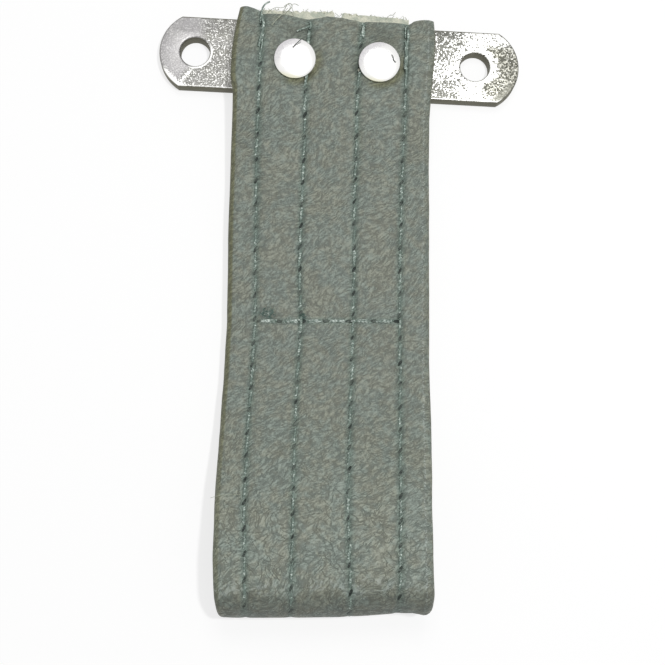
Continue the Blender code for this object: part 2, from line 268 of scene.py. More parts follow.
def leaned(ahead, sideways):
    """Distances along and across the strap, turned to those along and across a leaning needle hole."""
    ahead_share, side_share = math.cos(HOLE_LEAN), math.sin(HOLE_LEAN)
    return ahead * ahead_share - sideways * side_share, sideways * ahead_share + ahead * side_share


def cross_line(x, back=False):
    """Length along the strap at which the cross seam passes x, on the front or the back leg."""
    lower = CROSS_LOWER - CROSS_SLANT * x
    return SEAM_BACK - lower if back else SEAM_FRONT + lower


def off_fold(s):
    """0 at the fold and 1 well away from it."""
    return smooth((np.abs(s - FOLD_MIDDLE) - 4 * MM) / (6 * MM))


class Wire:
    """A node's output as a value in Python sums, each of which adds a Math node."""

    def __init__(self, graph, socket):
        self.graph = graph
        self.socket = socket

    def other(self, name):
        """Another output of the same node."""
        return Wire(self.graph, self.socket.node.outputs[name])

    def scaled(self, factor):
        """A colour or vector times a number."""
        return self.graph.add("ShaderNodeVectorMath", {"operation": "SCALE"}, vector=self, scale=factor)

    def math(self, operation, *others):
        """A Math node on this value, with the others after it."""
        return self.graph.add("ShaderNodeMath", {"operation": operation}, self, *others)

    def __add__(self, value):
        return self.math("ADD", value)

    def __sub__(self, value):
        return self.math("SUBTRACT", value)

    def __rsub__(self, value):
        return self.graph.add("ShaderNodeMath", {"operation": "SUBTRACT"}, value, self)

    def __mul__(self, value):
        return self.math("MULTIPLY", value)

    def __truediv__(self, value):
        return self.math("DIVIDE", value)

    def __abs__(self):
        return self.math("ABSOLUTE")

    __radd__ = __add__
    __rmul__ = __mul__


class Graph:
    """The nodes of one material, or of the world."""

    def __init__(self, owner):
        owner.use_nodes = True
        self.nodes = owner.node_tree.nodes
        self.links = owner.node_tree.links
        self.nodes.clear()

    def add(self, kind, settings, *in_order, **by_name):
        """A node of this kind with these settings, its sockets filled in order or by name."""
        node = self.nodes.new(kind)
        for name, value in settings.items():
            setattr(node, name, value)
        sockets = [socket for socket in node.inputs if socket.enabled]
        for socket, value in zip(sockets, in_order):
            self.fill(socket, value)
        for name, value in by_name.items():
            title = name.replace("_", " ").title()
            self.fill(next(socket for socket in sockets if socket.name.title() == title), value)
        return Wire(self, next((socket for socket in node.outputs if socket.enabled), None))

    def fill(self, socket, value):
        """Links a value to a socket or sets it there."""
        if isinstance(value, Wire):
            self.links.new(value.socket, socket)
        elif hasattr(value, "__len__") and len(socket.default_value) == 4 and len(value) == 3:
            socket.default_value = (*value, 1.0)
        else:
            socket.default_value = value

    def mix(self, factor, first, second):
        """A colour between two colours."""
        return self.add("ShaderNodeMix", {"data_type": "RGBA"}, factor, first, second)

    def ramp(self, value, low, high):
        """0 at low, 1 at high and an even S between them. low may be the larger."""
        return self.add("ShaderNodeMapRange", {"interpolation_type": "SMOOTHSTEP"}, value, low, high,
                        0.0, 1.0)

    def noise(self, vector, size, detail=2.0, roughness=0.5, distortion=0.0):
        """Soft noise about 0.5 whose blobs are about this size."""
        return self.add("ShaderNodeTexNoise", {}, vector=vector, scale=1.0 / size, detail=detail,
                        roughness=roughness, distortion=distortion)

    def bent(self, vector, size, reach):
        """The same coordinates, pushed about within this reach by soft noise of this size."""
        push = self.noise(vector, size).other("Color").scaled(reach)
        return self.add("ShaderNodeVectorMath", {"operation": "ADD"}, vector, push)

    def distance(self, x, y):
        """How far a place x and y away is."""
        square = x * x + y * y
        return square.math("SQRT")

    def attribute(self, name, output="Fac"):
        """What the mesh carries at each vertex under this name."""
        return self.add("ShaderNodeAttribute", {"attribute_name": name}).other(output)

    def spot(self):
        """The place in the frame, where every piece's object sits at the origin."""
        return self.add("ShaderNodeTexCoord", {}).other("Object")

    def split(self, vector):
        """A vector's x, y and z."""
        x = self.add("ShaderNodeSeparateXYZ", {}, vector)
        return x, x.other("Y"), x.other("Z")

    def stretched(self, vector, turn, scale):
        """The same coordinates turned about Z, then stretched."""
        turned = self.add("ShaderNodeMapping", {"vector_type": "POINT"}, vector=vector,
                          rotation=(0.0, 0.0, math.radians(turn)))
        return self.add("ShaderNodeMapping", {"vector_type": "POINT"}, vector=turned, scale=scale)

    def bump(self, height, distance, invert=False):
        """A normal that leans as if the surface rose, or sank, by this distance where the height is 1."""
        return self.add("ShaderNodeBump", {"invert": invert}, height=height, distance=distance, strength=1.0)

    def shade(self, **values):
        """Ends the material in one Principled shader."""
        shader = self.add("ShaderNodeBsdfPrincipled", {}, **values)
        self.add("ShaderNodeOutputMaterial", {}, surface=shader)


def new_material(name):
    """A new material and the graph that fills it."""
    made = bpy.data.materials.new(name)
    return made, Graph(made)


def ellipse(first, first_half, second, second_half):
    """Below 1 inside an ellipse with these half widths."""
    first, second = first / first_half, second / second_half
    return first * first + second * second


def needle_pits(g, flat, across, along):
    """Where the needle holes lie, how near a point is to the rows or the cross seam, and to the knot."""
    inner, outer = ROWS[2], ROWS[3]
    from_middle = abs(across)
    at_outer = from_middle.math("GREATER_THAN", (inner + outer) / 2)
    beside = from_middle - inner - at_outer * (outer - inner)
    count = g.attribute("hole_count")
    ahead = (count - count.math("ROUND")) * ROW_PITCHES[0]
    long_way, short_way = leaned(ahead, beside * across.math("SIGN"))
    uneven = (g.noise(flat, 1.3 * MM) - 0.5) * 2.6
    row_pits = g.ramp(ellipse(long_way, 0.70 * MM, short_way, 0.25 * MM) + uneven, 1.35, 0.25)
    off_seam = along - cross_line(across)
    step = (across - CROSS_START) / CROSS_PITCH - (1 + CROSS_VISIBLE) / 2
    gap = (step - step.math("ROUND")) * CROSS_PITCH
    on_seam = g.ramp(across, CROSS_START - MM, CROSS_START) * g.ramp(across, outer + MM, outer)
    seam_pits = on_seam * g.ramp(ellipse(gap, 0.72 * MM, off_seam, 0.30 * MM) + uneven, 1.35, 0.25)
    near_row = g.ramp(abs(beside), 1.25 * MM, 0.25 * MM)
    near_seam = on_seam * g.ramp(abs(off_seam), 1.0 * MM, 0.25 * MM)
    knot = ellipse(across - CROSS_START - 1.5 * MM, 1.7 * MM, off_seam + 1.4 * MM, 1.2 * MM)
    second_knot = ellipse(across - ROWS[1] - 0.3 * MM, 0.8 * MM, off_seam + 0.8 * MM, 0.7 * MM)
    near_knot = g.ramp(knot.math("MINIMUM", second_knot) + uneven * 1.4, 1.9, 0.1)
    return row_pits.math("MAXIMUM", seam_pits), near_row.math("MAXIMUM", near_seam), near_knot


def from_rivet(x, y):
    """How far to the right of the nearer rivet's middle and how far above it a place is."""
    left, right = rivet_places()
    x = x - (left.x + right.x) / 2
    x = x - x.math("SIGN") * ((right.x - left.x) / 2)
    return x, y - (left.y + right.y) / 2


def wrinkles(g, look, flat, near_fold):
    """Height of the vinyl's slanting wrinkles and its creases, and two noises in it that its tones share."""
    bent = g.bent(g.bent(flat, 15 * MM, 8 * MM), 1.2 * MM, 0.55 * MM)
    slanting = g.stretched(bent, look.grain_turn, (1.0, 0.38, 1.0))
    cells = g.add("ShaderNodeTexVoronoi", {"feature": "DISTANCE_TO_EDGE"}, vector=slanting,
                  scale=1.0 / look.grain_size)
    swells = g.noise(slanting, look.grain_size, roughness=0.6)
    creases = g.noise(bent, 2.7 * MM, distortion=0.8)
    crease_lines = g.ramp(abs(creases - 0.5), 0.035, 0.0)
    fine = g.noise(flat, 0.3 * MM, detail=1.0)
    height = 0.22 * g.ramp(cells, 0.0, 0.35) + 0.9 * swells + 0.6 * (fine - 0.5)
    return height - crease_lines * (0.05 + 0.25 * near_fold), swells, fine


def vinyl_material(look):
    """Grey-green leathercloth with slanting wrinkles that curl near the fold, darker at the needle holes."""
    made, g = new_material("grey_green_vinyl")
    flat = g.add("ShaderNodeUVMap", {"uv_map": "flat"})
    across, along, _ = g.split(flat)
    off_middle = abs(along - FOLD_MIDDLE)
    near_fold = g.ramp(off_middle, 55 * MM, 16 * MM)
    height, swells, fine = wrinkles(g, look, flat, near_fold)
    grain = g.ramp(height, 0.30, 0.80)
    patches = g.noise(flat, 7.0 * MM, detail=3.0)
    blotches = g.noise(flat, 1.6 * MM)
    colour = g.mix(g.ramp(patches * 0.55 + blotches * 0.45, 0.38, 0.62), look.olive, look.cool)
    # The turned edges darken towards the olive edge tone. This is in part painted shade on sides that turn
    # away from the light, and less so near the fold
    left_edge = g.ramp(across, -(HALF - 1.25 * MM), -(HALF - 0.75 * MM))
    right_edge = g.ramp(across, HALF - 0.2 * MM, HALF + 0.4 * MM)
    colour = g.mix(left_edge.math("MAXIMUM", right_edge) * (0.85 - 0.4 * near_fold), colour, look.edge)
    # Painted highlight: a pale, broken line where the right face starts to round over its edge
    highlit = g.ramp(abs(across - (HALF - 1.35 * MM)), 0.22 * MM, 0.06 * MM)
    colour = g.mix(highlit * g.ramp(fine, 0.46, 0.60) * 0.45, colour, look.painted_sheen)
    pits, near_row, near_knot = needle_pits(g, flat, across, along)
    colour = g.mix(near_row * 0.6, colour, look.row)
    # Painted shade in the dishes above and round the rivets
    colour = g.mix(g.attribute("dark") * 0.7, colour, look.dish_shade)
    x, y, _ = g.split(g.spot())
    beside, above = from_rivet(x, y)
    olive_rim = g.ramp(g.distance(beside, above), 6.2 * MM, 4.5 * MM)
    olive_rim = olive_rim * g.ramp(beside - above, 1.0 * MM, 5.0 * MM)
    colour = g.mix(olive_rim * 0.8, colour, look.edge)
    # Painted shade under and round the tangles of thread at the cross seam's knots
    colour = g.mix(near_knot * g.ramp(fine * 0.5 + swells * 0.5, 0.40, 0.55), colour, look.knot)
    # The tone is lighter where the grain stands high and darker in its hollows, as painted shade of the
    # grain's relief
    depth = look.grain_shade * (1.0 - 0.05 * near_fold)
    # Painted shade: the band round the fold's turn, which faces away from the light, is darker and has a
    # ragged border. The tone also grows brighter towards the fold
    from_fold = off_middle + (patches - 0.5) * (5 * MM)
    at_fold = g.ramp(from_fold, 7.8 * MM, 5.8 * MM)
    colour = colour.scaled((1.02 + 0.17 * near_fold - 0.32 * at_fold) * (1.0 + depth * (grain - 0.5)))
    # Painted highlight: a pale, broken band on the ridge where the front turns into the fold
    painted_sheen = g.ramp(from_fold, 6.2 * MM, 7.4 * MM) * g.ramp(from_fold, 9.6 * MM, 8.2 * MM)
    colour = g.mix(painted_sheen * g.ramp(swells, 0.50, 0.62) * 0.35, colour, look.painted_sheen)
    # Painted shade in the needle holes, deeper in some than in others
    colour = g.mix(pits * (0.4 + 0.6 * g.ramp(blotches, 0.38, 0.58)), colour, look.pit_shade)
    rough = look.roughness + 0.10 * (blotches - 0.5) - 0.08 * (grain - 0.5)
    # The grain was matched to the photograph with its bump inverted, and so was the thread's
    g.shade(base_color=colour, roughness=rough, specular_ior_level=0.35,
            normal=g.bump(height - pits * 1.5, look.grain_depth, invert=True))
    return made


def thread_material(name, look, dark, light):
    """Sea green polyester: three twisted plies with pale flecks where the fibres catch the light."""
    made, g = new_material(name)
    side_x, side_y, along = g.split(g.attribute("twist", "Vector"))
    plies = (3.0 * side_y.math("ARCTAN2", side_x) + look.twist * along).math("SINE")
    spot = g.spot()
    tones = g.noise(spot, 0.8 * MM, roughness=0.7)
    flecks = g.noise(spot, 0.3 * MM, detail=1.0)
    colour = g.mix(g.ramp(tones, 0.36, 0.64), dark, light)
    # Painted shade between the plies
    colour = g.mix(g.ramp(plies, -0.2, -1.0) * 0.5, colour, dark)
    # Painted highlights: pale flecks where the fibres catch the light
    colour = g.mix(g.ramp(flecks * 0.55 + tones * 0.45, 0.535, 0.63) * 0.9, colour, look.fleck)
    g.shade(base_color=colour, roughness=look.roughness,
            normal=g.bump(plies * 0.5 + flecks * 0.6, 0.07 * MM, invert=True))
    return made


def webbing_material(look):
    """Cream cotton webbing with its weave and a few greenish fibres."""
    made, g = new_material("cream_webbing")
    spot = g.spot()
    x, y, _ = g.split(spot)
    warp = (x * (2 * math.pi / (0.7 * MM))).math("SINE")
    weft = (y * (2 * math.pi / (0.55 * MM))).math("SINE")
    fuzz = g.noise(spot, 0.3 * MM, detail=3.0, roughness=0.7)
    colour = g.mix(g.ramp(g.noise(spot, 1.6 * MM), 0.4, 0.66), look.colour, look.tint)
    colour = g.mix(g.ramp(fuzz, 0.52, 0.3) * 0.5, colour, look.shade)
    g.shade(base_color=colour, roughness=0.9, normal=g.bump(warp * weft * 0.4 + fuzz, 0.12 * MM))
    return made


# Each loose fibre's two tones
DARK_FIBRE = (0.02, 0.025, 0.02), (0.07, 0.08, 0.07)
GREY_FIBRE = (0.26, 0.29, 0.22), (0.50, 0.52, 0.42)


def fibre_material(name, tones):
    """Loose fibre that varies between two tones."""
    made, g = new_material(name)
    share = g.ramp(g.noise(g.spot(), 0.3 * MM), 0.35, 0.65)
    g.shade(base_color=g.mix(share, *tones), roughness=0.6)
    return made


def left_tab(g, look, x, y, salt, pepper, haze):
    """Grey, sparkling zinc, even and lilac towards the end, with a painted highlight along its lower rim."""
    low = g.ramp(y, -0.5 * MM, -6.5 * MM) * (4.3 * MM)
    sparkle = 0.3 + 0.7 * g.ramp(x + low, -SCREW_PITCH / 2, -SCREW_PITCH / 2 + 3.0 * MM)
    colour = g.mix(haze, look.zinc, look.zinc_cool)
    colour = g.mix((1.0 - sparkle) * 0.8, colour, look.zinc_soft)
    colour = g.mix(g.ramp(salt, 0.54, 0.64) * sparkle * 0.7, colour, look.zinc_bright)
    colour = g.mix(g.ramp(pepper, 0.53, 0.63) * sparkle * 0.6, colour, look.zinc_dark)
    # Painted highlight: a bright, ragged arc along the lower rim of the tab's round end, and a bright line
    # beside it
    ragged = (haze + salt - 1.0) * (1.5 * MM)
    from_middle = g.distance(x - (PLATE_LOW.x + PLATE_END_RADIUS), y)
    rim_highlight = g.ramp(from_middle + ragged, 7.8 * MM, 8.1 * MM) * g.ramp(x, -27.5 * MM, -30.5 * MM)
    border = g.ramp(abs(x + low + 26.8 * MM + ragged), 0.35 * MM, 0.1 * MM)
    rim_highlight = rim_highlight.math("MAXIMUM", border) * g.ramp(y, -3.2 * MM, -4.4 * MM)
    return g.mix(rim_highlight * 0.85, colour, look.zinc_bright)


def right_tab(g, look, x, y, round_hole, salt, pepper, haze):
    """Zinc painted bright as a painted reflection, with clusters of dark pits by the strap and at its olive
    end, and a duller rim there.
    """
    from_line = abs(y + MM)
    by_strap = g.ramp(x, 28.0 * MM, 23.5 * MM) * (0.35 + 0.65 * g.ramp(from_line, 1.2 * MM, 2.8 * MM))
    at_end = g.ramp(round_hole + (haze - 0.5) * (4 * MM), 4.1 * MM, 5.3 * MM)
    at_end = at_end * g.ramp(x, 29.0 * MM, 32.0 * MM) * g.ramp(from_line, 6.5 * MM, 4.5 * MM)
    specks = g.ramp(pepper + 0.12 * (by_strap + 0.7 * at_end), 0.542, 0.562)
    colour = g.mix(at_end * 0.8, look.zinc_bright, look.zinc_olive)
    colour = g.mix(g.ramp(salt, 0.56, 0.68) * at_end * 0.7, colour, look.zinc_bright)
    colour = g.mix(specks * 0.93, colour, look.zinc_dark)
    from_middle = g.distance(x - (PLATE_HIGH.x - PLATE_END_RADIUS), y)
    lower = g.ramp(from_middle, 7.0 * MM, 7.6 * MM) * g.ramp(y, -2.6 * MM, -4.2 * MM)
    upper = g.ramp(from_middle, 8.3 * MM, 8.5 * MM) * g.ramp(y, 2.5 * MM, 4.0 * MM)
    facet = lower.math("MAXIMUM", upper) * g.ramp(x, 31.0 * MM, 32.5 * MM)
    return g.mix(facet * (0.5 + 0.6 * haze), colour, look.zinc)


def zinc_material(look):
    """Zinc plating with its own wear on each tab, the right tab painted far brighter than the left as a
    painted reflection.
    """
    made, g = new_material("zinc_plated_steel")
    spot = g.spot()
    x, y, _ = g.split(spot)
    _, north, up = g.split(g.add("ShaderNodeNewGeometry", {}).other("Normal"))
    salt = g.noise(spot, look.speck_size, detail=1.0)
    pepper = g.noise(spot, 1.25 * look.speck_size, roughness=0.7)
    haze = g.noise(spot, 2.4 * MM)
    from_hole = x - x.math("SIGN") * (SCREW_PITCH / 2)
    round_hole = g.distance(from_hole, y)
    left = left_tab(g, look, x, y, salt, pepper, haze)
    right = right_tab(g, look, x, y, round_hole, salt, pepper, haze)
    # The two tabs differ in their specks and pits, and the right one is painted brighter as a painted
    # reflection of a light
    colour = g.mix(g.ramp(x, -5 * MM, 5 * MM), left, right)
    # Painted highlight: a bright crescent on each screw hole's rolled rim, at its lower right
    hole_highlight = g.ramp(abs(round_hole - 3.35 * MM), 0.3 * MM, 0.12 * MM)
    hole_highlight = hole_highlight * g.ramp(from_hole * 0.8 - y * 0.6, 0.6 * MM, 2.4 * MM)
    colour = g.mix(hole_highlight, colour, look.zinc_bright)
    long_edge = g.ramp(abs(y), PLATE_WIDTH / 2 - 1.0 * MM, PLATE_WIDTH / 2 - 0.5 * MM)
    # Painted highlight on the bevel along the plate's lower long edge
    edge_highlight = long_edge * g.ramp(north, -0.1, -0.4) * g.ramp(up, 0.7, 0.85)
    colour = g.mix(edge_highlight * (0.4 + salt), colour, look.zinc_bright)
    # The walls and the bevel along the far long edge are darker: this is dull cut steel, and in part painted
    # shade
    wall = g.ramp(up, 0.8, 0.4).math("MAXIMUM", long_edge * g.ramp(north, 0.15, 0.5))
    colour = g.mix(wall, colour, look.zinc_wall)
    colour = colour.scaled(1.0 + wall * (0.5 * haze + 0.6 * salt - 0.55))
    rough = look.zinc_roughness + 0.25 * (salt - 0.5) + 0.15 * wall
    g.shade(base_color=colour, metallic=1.0, roughness=rough,
            normal=g.bump(salt * 0.6 + haze * 0.5, 0.04 * MM))
    return made


def nickel_material(look):
    """Bright nickel on the rivets, a little duller at the upper left as painted shade, and yellowish at the
    lower rim as a painted reflection of the vinyl.
    """
    made, g = new_material("bright_nickel")
    spot = g.spot()
    x, y, _ = g.split(spot)
    x, y = from_rivet(x, y)
    haze = g.noise(spot, 1.6 * MM, detail=3.0)
    marks = g.noise(spot, 0.5 * MM, roughness=0.6)
    # Painted shade, mottled, at the upper left of each head
    colour = g.mix(g.ramp(y - x, 0.5 * MM, 5.5 * MM) * marks * 2.0, look.nickel, look.nickel_shade)
    # Painted reflection of the olive vinyl on each head's lower rim
    colour = g.mix(g.ramp(y + 0.2 * x, -3.2 * MM, -4.3 * MM) * 0.6, colour, look.nickel_reflection)
    colour = g.mix(g.ramp(marks, 0.70, 0.78) * 0.4, colour, look.zinc_dark)
    rough = look.nickel_roughness + 0.12 * (haze - 0.5)
    g.shade(base_color=colour, metallic=1.0, roughness=rough, normal=g.bump(haze, 0.03 * MM))
    return made


def add_object(name, data):
    """A new object in the scene that shows this data."""
    made = bpy.data.objects.new(name, data)
    bpy.context.scene.collection.objects.link(made)
    return made


def add_piece(name, mesh, finish, slot, *nodes):
    """Puts a finished mesh into the scene as a piece of the part that stands for these CAD nodes."""
    mesh.materials.clear()
    mesh.materials.append(finish)
    piece = add_object(name, mesh)
    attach(piece, "root")
    if nodes:
        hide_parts(*nodes)
    return piece


def shade_faces(mesh, sharp_angle):
    """Smooth faces, apart from edges where they meet at more than this angle in degrees."""
    mesh.shade_smooth()
    mesh.set_sharp_from_angle(angle=math.radians(sharp_angle))


def mesh_from(bm, name, sharp_angle=40.0):
    """The mesh that a bmesh has become, shaded."""
    mesh = bpy.data.meshes.new(name)
    bm.to_mesh(mesh)
    bm.free()
    shade_faces(mesh, sharp_angle)
    return mesh


def get_places(mesh):
    """The mesh's vertices, one row each."""
    places = np.zeros(len(mesh.vertices) * 3, np.float32)
    mesh.vertices.foreach_get("co", places)
    return places.reshape(-1, 3).astype(float)


def set_places(mesh, places):
    """Moves the mesh's vertices to these places."""
    mesh.vertices.foreach_set("co", np.ascontiguousarray(places, np.float32).ravel())
    mesh.update()


def set_attribute(mesh, name, values, kind="FLOAT"):
    """Gives each vertex a value or vector for the material to read."""
    field = "value" if kind == "FLOAT" else "vector"
    made = mesh.attributes.new(name, kind, "POINT")
    made.data.foreach_set(field, np.ascontiguousarray(values, np.float32).ravel())


def set_flat_map(mesh, flat):
    """A UV map in metres, from each vertex's place on the flat sheet."""
    corners = np.zeros(len(mesh.loops), np.int32)
    mesh.loops.foreach_get("vertex_index", corners)
    layer = mesh.uv_layers.new(name="flat")
    layer.data.foreach_set("uv", np.ascontiguousarray(flat[corners], np.float32).ravel())


def soft_noise(points, size, offset=0.0):
    """Smooth noise from -1 to 1 at each (x, y) point, with blobs of about this size."""
    return np.array([noise.noise(Vector((x / size, y / size, offset))) for x, y in points])


# The sleeve's cut edge on the front leg: x across the strap and y, from its left ear to its right one
CUT_EDGE = [(-20.0, 7.45), (-17.2, 7.65), (-15.1, 6.85), (-14.5, 6.3), (-10.5, 6.45), (-8.3, 6.2),
            (-6.0, 5.75), (-3.4, 6.1), (-1.4, 6.65), (1.4, 6.55), (5.3, 6.0), (8.6, 6.2), (12.2, 6.3),
            (15.3, 6.25), (15.9, 6.85), (17.6, 7.35), (20.0, 7.5)]
EDGE_FADE = 5.0 * MM
EDGE_RAGGED = 0.12 * MM


def stand_back_at(edge, x, s, ragged, fade):
    """How far a layer stands back near its two cut ends, by a table of its cut edge and by raggedness."""
    edge_x, edge_y = in_metres(edge)
    short = STRAP_TOP - np.interp(drawn(x, STRAP_TOP), edge_x, edge_y)
    to_end = np.minimum(s, PATH.length - s)
    return (short + ragged) * np.maximum(0.0, 1 - to_end / fade)


# The sleeve's cross-section: its turned edges, and where its outer face ends and its inner face begins
TURN_RADIUS = LEG / 2
OUTER_EDGE = HALF - TURN_RADIUS
INNER_EDGE = OUTER_EDGE + math.pi * TURN_RADIUS

# Where the sleeve's mesh has columns beside each row, on its outer and on its inner face
NEAR_ROW = np.array([-1.5, -0.9, -0.5, -0.22, 0.0, 0.22, 0.5, 0.9, 1.5]) * MM
UNDER_ROW = np.array([0.9, 0.35, 0.0, -0.35, -0.9]) * MM


def face_stations():
    """Places across one face from its middle to its edge, close together at the rows of stitches."""
    inner, outer = ROWS[2], ROWS[3]
    between = np.linspace(inner + 2.4 * MM, outer - 2.4 * MM, 5)
    return np.concatenate([np.linspace(0.0, inner - 2.3 * MM, 4), inner + NEAR_ROW, between,
                           outer + NEAR_ROW, [16.9 * MM, 17.9 * MM]])


def sleeve_columns():
    """Flat places across the vinyl, from one lip of the slit on the inner face to the other."""
    turn = OUTER_EDGE + np.linspace(0.0, math.pi * TURN_RADIUS, 9)
    under = np.concatenate([[17.6 * MM], ROWS[3] + UNDER_ROW, [11.5 * MM, 9.0 * MM, 7.2 * MM],
                            ROWS[2] + UNDER_ROW, [3.0 * MM, 1.5 * MM, SLIT / 2]])
    half = np.concatenate([face_stations(), turn, INNER_EDGE + OUTER_EDGE - under])
    return np.concatenate([-half[:0:-1], half])


def section(flat, depth):
    """x across the strap and height over its middle layer, for a flat place on the vinyl and a depth."""
    out = np.abs(flat)
    turn = np.clip((out - OUTER_EDGE) / TURN_RADIUS, 0.0, math.pi)
    under = np.maximum(out - INNER_EDGE, 0.0)
    x = np.minimum(out, OUTER_EDGE) + (TURN_RADIUS - depth) * np.sin(turn) - under
    return np.sign(flat) * x, (TURN_RADIUS - depth) * np.cos(turn)


def rivet_places():
    """Middle of each rivet's head in the frame."""
    found = []
    for name in ("rivet_left", "rivet_right"):
        low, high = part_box(name)
        found.append(Vector(((low.x + high.x) / 2, (low.y + high.y) / 2, high.z)))
    return found


# The sleeve's relief: the needle holes, the rows' grooves, the puckers beside them, the cross seam's groove
# and the hollow that lies above each rivet and a little to its right
PIT_LONG = 0.7 * MM
PIT_WIDE = 0.32 * MM
GROOVE_WIDE = 0.75 * MM
PUCKER_OFF = 1.1 * MM
PUCKER_WIDE = 0.55 * MM
SEAM_WIDE = 0.7 * MM
HOLLOW_RIGHT = 0.3 * MM
HOLLOW_ABOVE = 5.4 * MM
HOLLOW_WIDE = 2.2 * MM


def hole_field(x, s, side):
    """How much each point lies in a needle hole, how far its row pulls the vinyl in, and its hole count."""
    rows = np.array(ROWS)
    row = np.abs(x[:, None] - rows).argmin(axis=1)
    dx = x - rows[row]
    pits, pull, count = np.zeros_like(x), np.zeros_like(x), np.zeros_like(x)
    for number, holes in enumerate(HOLES):
        here = row == number
        after = np.clip(np.searchsorted(holes, s[here]), 1, len(holes) - 1)
        first, second = holes[after - 1], holes[after]
        share = (s[here] - first) / (second - first)
        count[here] = after + share
        ds = (share - np.round(share)) * (second - first) * side[here]
        ahead, apart = leaned(ds, dx[here])
        pits[here] = hump(ahead, PIT_LONG) * hump(apart, PIT_WIDE)
        between = 0.5 - 0.5 * np.cos(2 * math.pi * share)
        pull[here] = between * hump(np.abs(dx[here]) - PUCKER_OFF, PUCKER_WIDE)
    return pits, pull, hump(dx, GROOVE_WIDE), count


def relief(x, s, flat, look):
    """How far the vinyl stands out from its plain form, and the hole count that the material reads."""
    outer, inner = np.abs(flat) <= OUTER_EDGE, np.abs(flat) >= INNER_EDGE
    pits, pull, near, count = hole_field(x, s, np.where(outer, 1.0, -1.0))
    seam = np.maximum(hump(s - cross_line(x), SEAM_WIDE), hump(s - cross_line(x, back=True), SEAM_WIDE))
    seam = seam * ((x > CROSS_START) & (x < ROWS[3]) & outer)
    rows = np.array(ROWS)
    channel = np.clip(np.searchsorted(rows, x) - 1, 0, len(rows) - 2)
    share = np.clip((x - rows[channel]) / np.diff(rows)[channel], 0.0, 1.0)
    crown = 4 * share * (1 - share)
    sheet = np.column_stack([flat, s])
    out = look.wave * soft_noise(sheet, 9.0 * MM, 3.1) + 0.25 * look.wave * soft_noise(sheet, 2.6 * MM, 8.4)
    on_face = (outer | inner) * (0.3 + 0.7 * off_fold(s))
    out += on_face * (look.crown * crown - look.groove * near - look.pit_depth * pits + look.pucker * pull)
    return out - 0.8 * look.groove * seam, count


def press_rivets(places, outer_front, look):
    """Pulls the front leg's outer face down under the rivet heads, and says where painted shade darkens it
    there.
    """
    dark = np.zeros(len(places))
    for head in rivet_places():
        dx, dy = places[:, 0] - head.x, places[:, 1] - head.y
        dish = 1 - smooth((np.hypot(dx, dy) - RIVET_HEAD / 2) / look.dish_wide)
        above = hump(np.hypot(dx * 0.8 - HOLLOW_RIGHT, dy - HOLLOW_ABOVE), HOLLOW_WIDE)
        places[:, 2] -= outer_front * (look.dish * dish + 0.7 * look.dish * above)
        # Painted shade: darkest in the hollow above each head, lighter in the dish round it
        dark = np.maximum(dark, outer_front * np.maximum(above, 0.55 * dish))
    return places, dark


def make_sleeve(look, finish):
    """The sheet of vinyl, made flat and then laid round the band and the fold."""
    columns = sleeve_columns()
    count = 1 + round(PATH.length / look.row_step)
    bm = bmesh.new()
    bmesh.ops.create_grid(bm, x_segments=len(columns) - 1, y_segments=count - 1, size=1.0)
    for vert in bm.verts:
        column = round((vert.co.x + 1) / 2 * (len(columns) - 1))
        vert.co = (columns[column], (1 - vert.co.y) / 2 * PATH.length, 0.0)
    bmesh.ops.recalc_face_normals(bm, faces=bm.faces[:])
    if bm.faces[0].normal.z < 0:
        bmesh.ops.reverse_faces(bm, faces=bm.faces[:])
    bmesh.ops.solidify(bm, geom=bm.faces[:], thickness=VINYL)
    # s runs against y, so laying the sheet on the strap turns its faces round, and they are turned first
    bmesh.ops.reverse_faces(bm, faces=bm.faces[:])
    mesh = mesh_from(bm, "vinyl_sleeve", 50.0)
    flat = get_places(mesh)
    wide, s, depth = flat[:, 0], flat[:, 1], flat[:, 2].max() - flat[:, 2]
    out, count = relief(section(wide, 0)[0], s, wide, look)
    on_skin = 1 - depth / VINYL
    x, height = section(wide, depth - out * on_skin)
    ragged = soft_noise(np.column_stack([x, s * 0]), 0.9 * MM) * EDGE_RAGGED
    places = place(x, s, height, stand_back_at(CUT_EDGE, x, s, ragged, EDGE_FADE))
    outer_front = (np.abs(wide) < HALF) & (s < SEAM_FRONT)
    places, dark = press_rivets(places, outer_front * 1.0, look)
    set_places(mesh, places)
    set_flat_map(mesh, flat[:, :2])
    set_attribute(mesh, "hole_count", count)
    set_attribute(mesh, "dark", dark)
    return add_piece("vinyl_sleeve", mesh, finish, "vinyl", "vinyl_cover")


# The webbing's cut edge on the front leg, with the nick near its middle, as for the sleeve
BAND_EDGE = [(-15.0, 7.4), (-6.9, 7.65), (-0.1, 8.15), (0.25, 6.4), (1.25, 6.4), (1.6, 8.0), (5.5, 7.85),
             (12.65, 7.7), (15.0, 7.5)]
BAND_FADE = 3.0 * MM


def make_band(look, finish):
    """The webbing inside the sleeve, whose two frayed ends stand out past the vinyl."""
    bm = bmesh.new()
    bmesh.ops.create_grid(bm, x_segments=120, y_segments=160, size=1.0)
    for vert in bm.verts:
        vert.co = (vert.co.x * CORE_WIDTH / 2, (1 - vert.co.y) / 2 * PATH.length, 0.0)
    bmesh.ops.solidify(bm, geom=bm.faces[:], thickness=CORE_THICK)
    mesh = mesh_from(bm, "webbing_band")
    flat = get_places(mesh)
    x, s, height = flat.T
    middle = (height.max() + height.min()) / 2
    ragged = soft_noise(flat[:, :2], 0.7 * MM, 5.0) * look.ragged
    fuzz = 1 + 0.25 * soft_noise(flat[:, :2], 1.1 * MM, 2.0)
    back = stand_back_at(BAND_EDGE, x, s, ragged, BAND_FADE)
    set_places(mesh, place(x, s, (height - middle) * fuzz, back))
    return add_piece("webbing_band", mesh, finish, "webbing", "webbing_core")


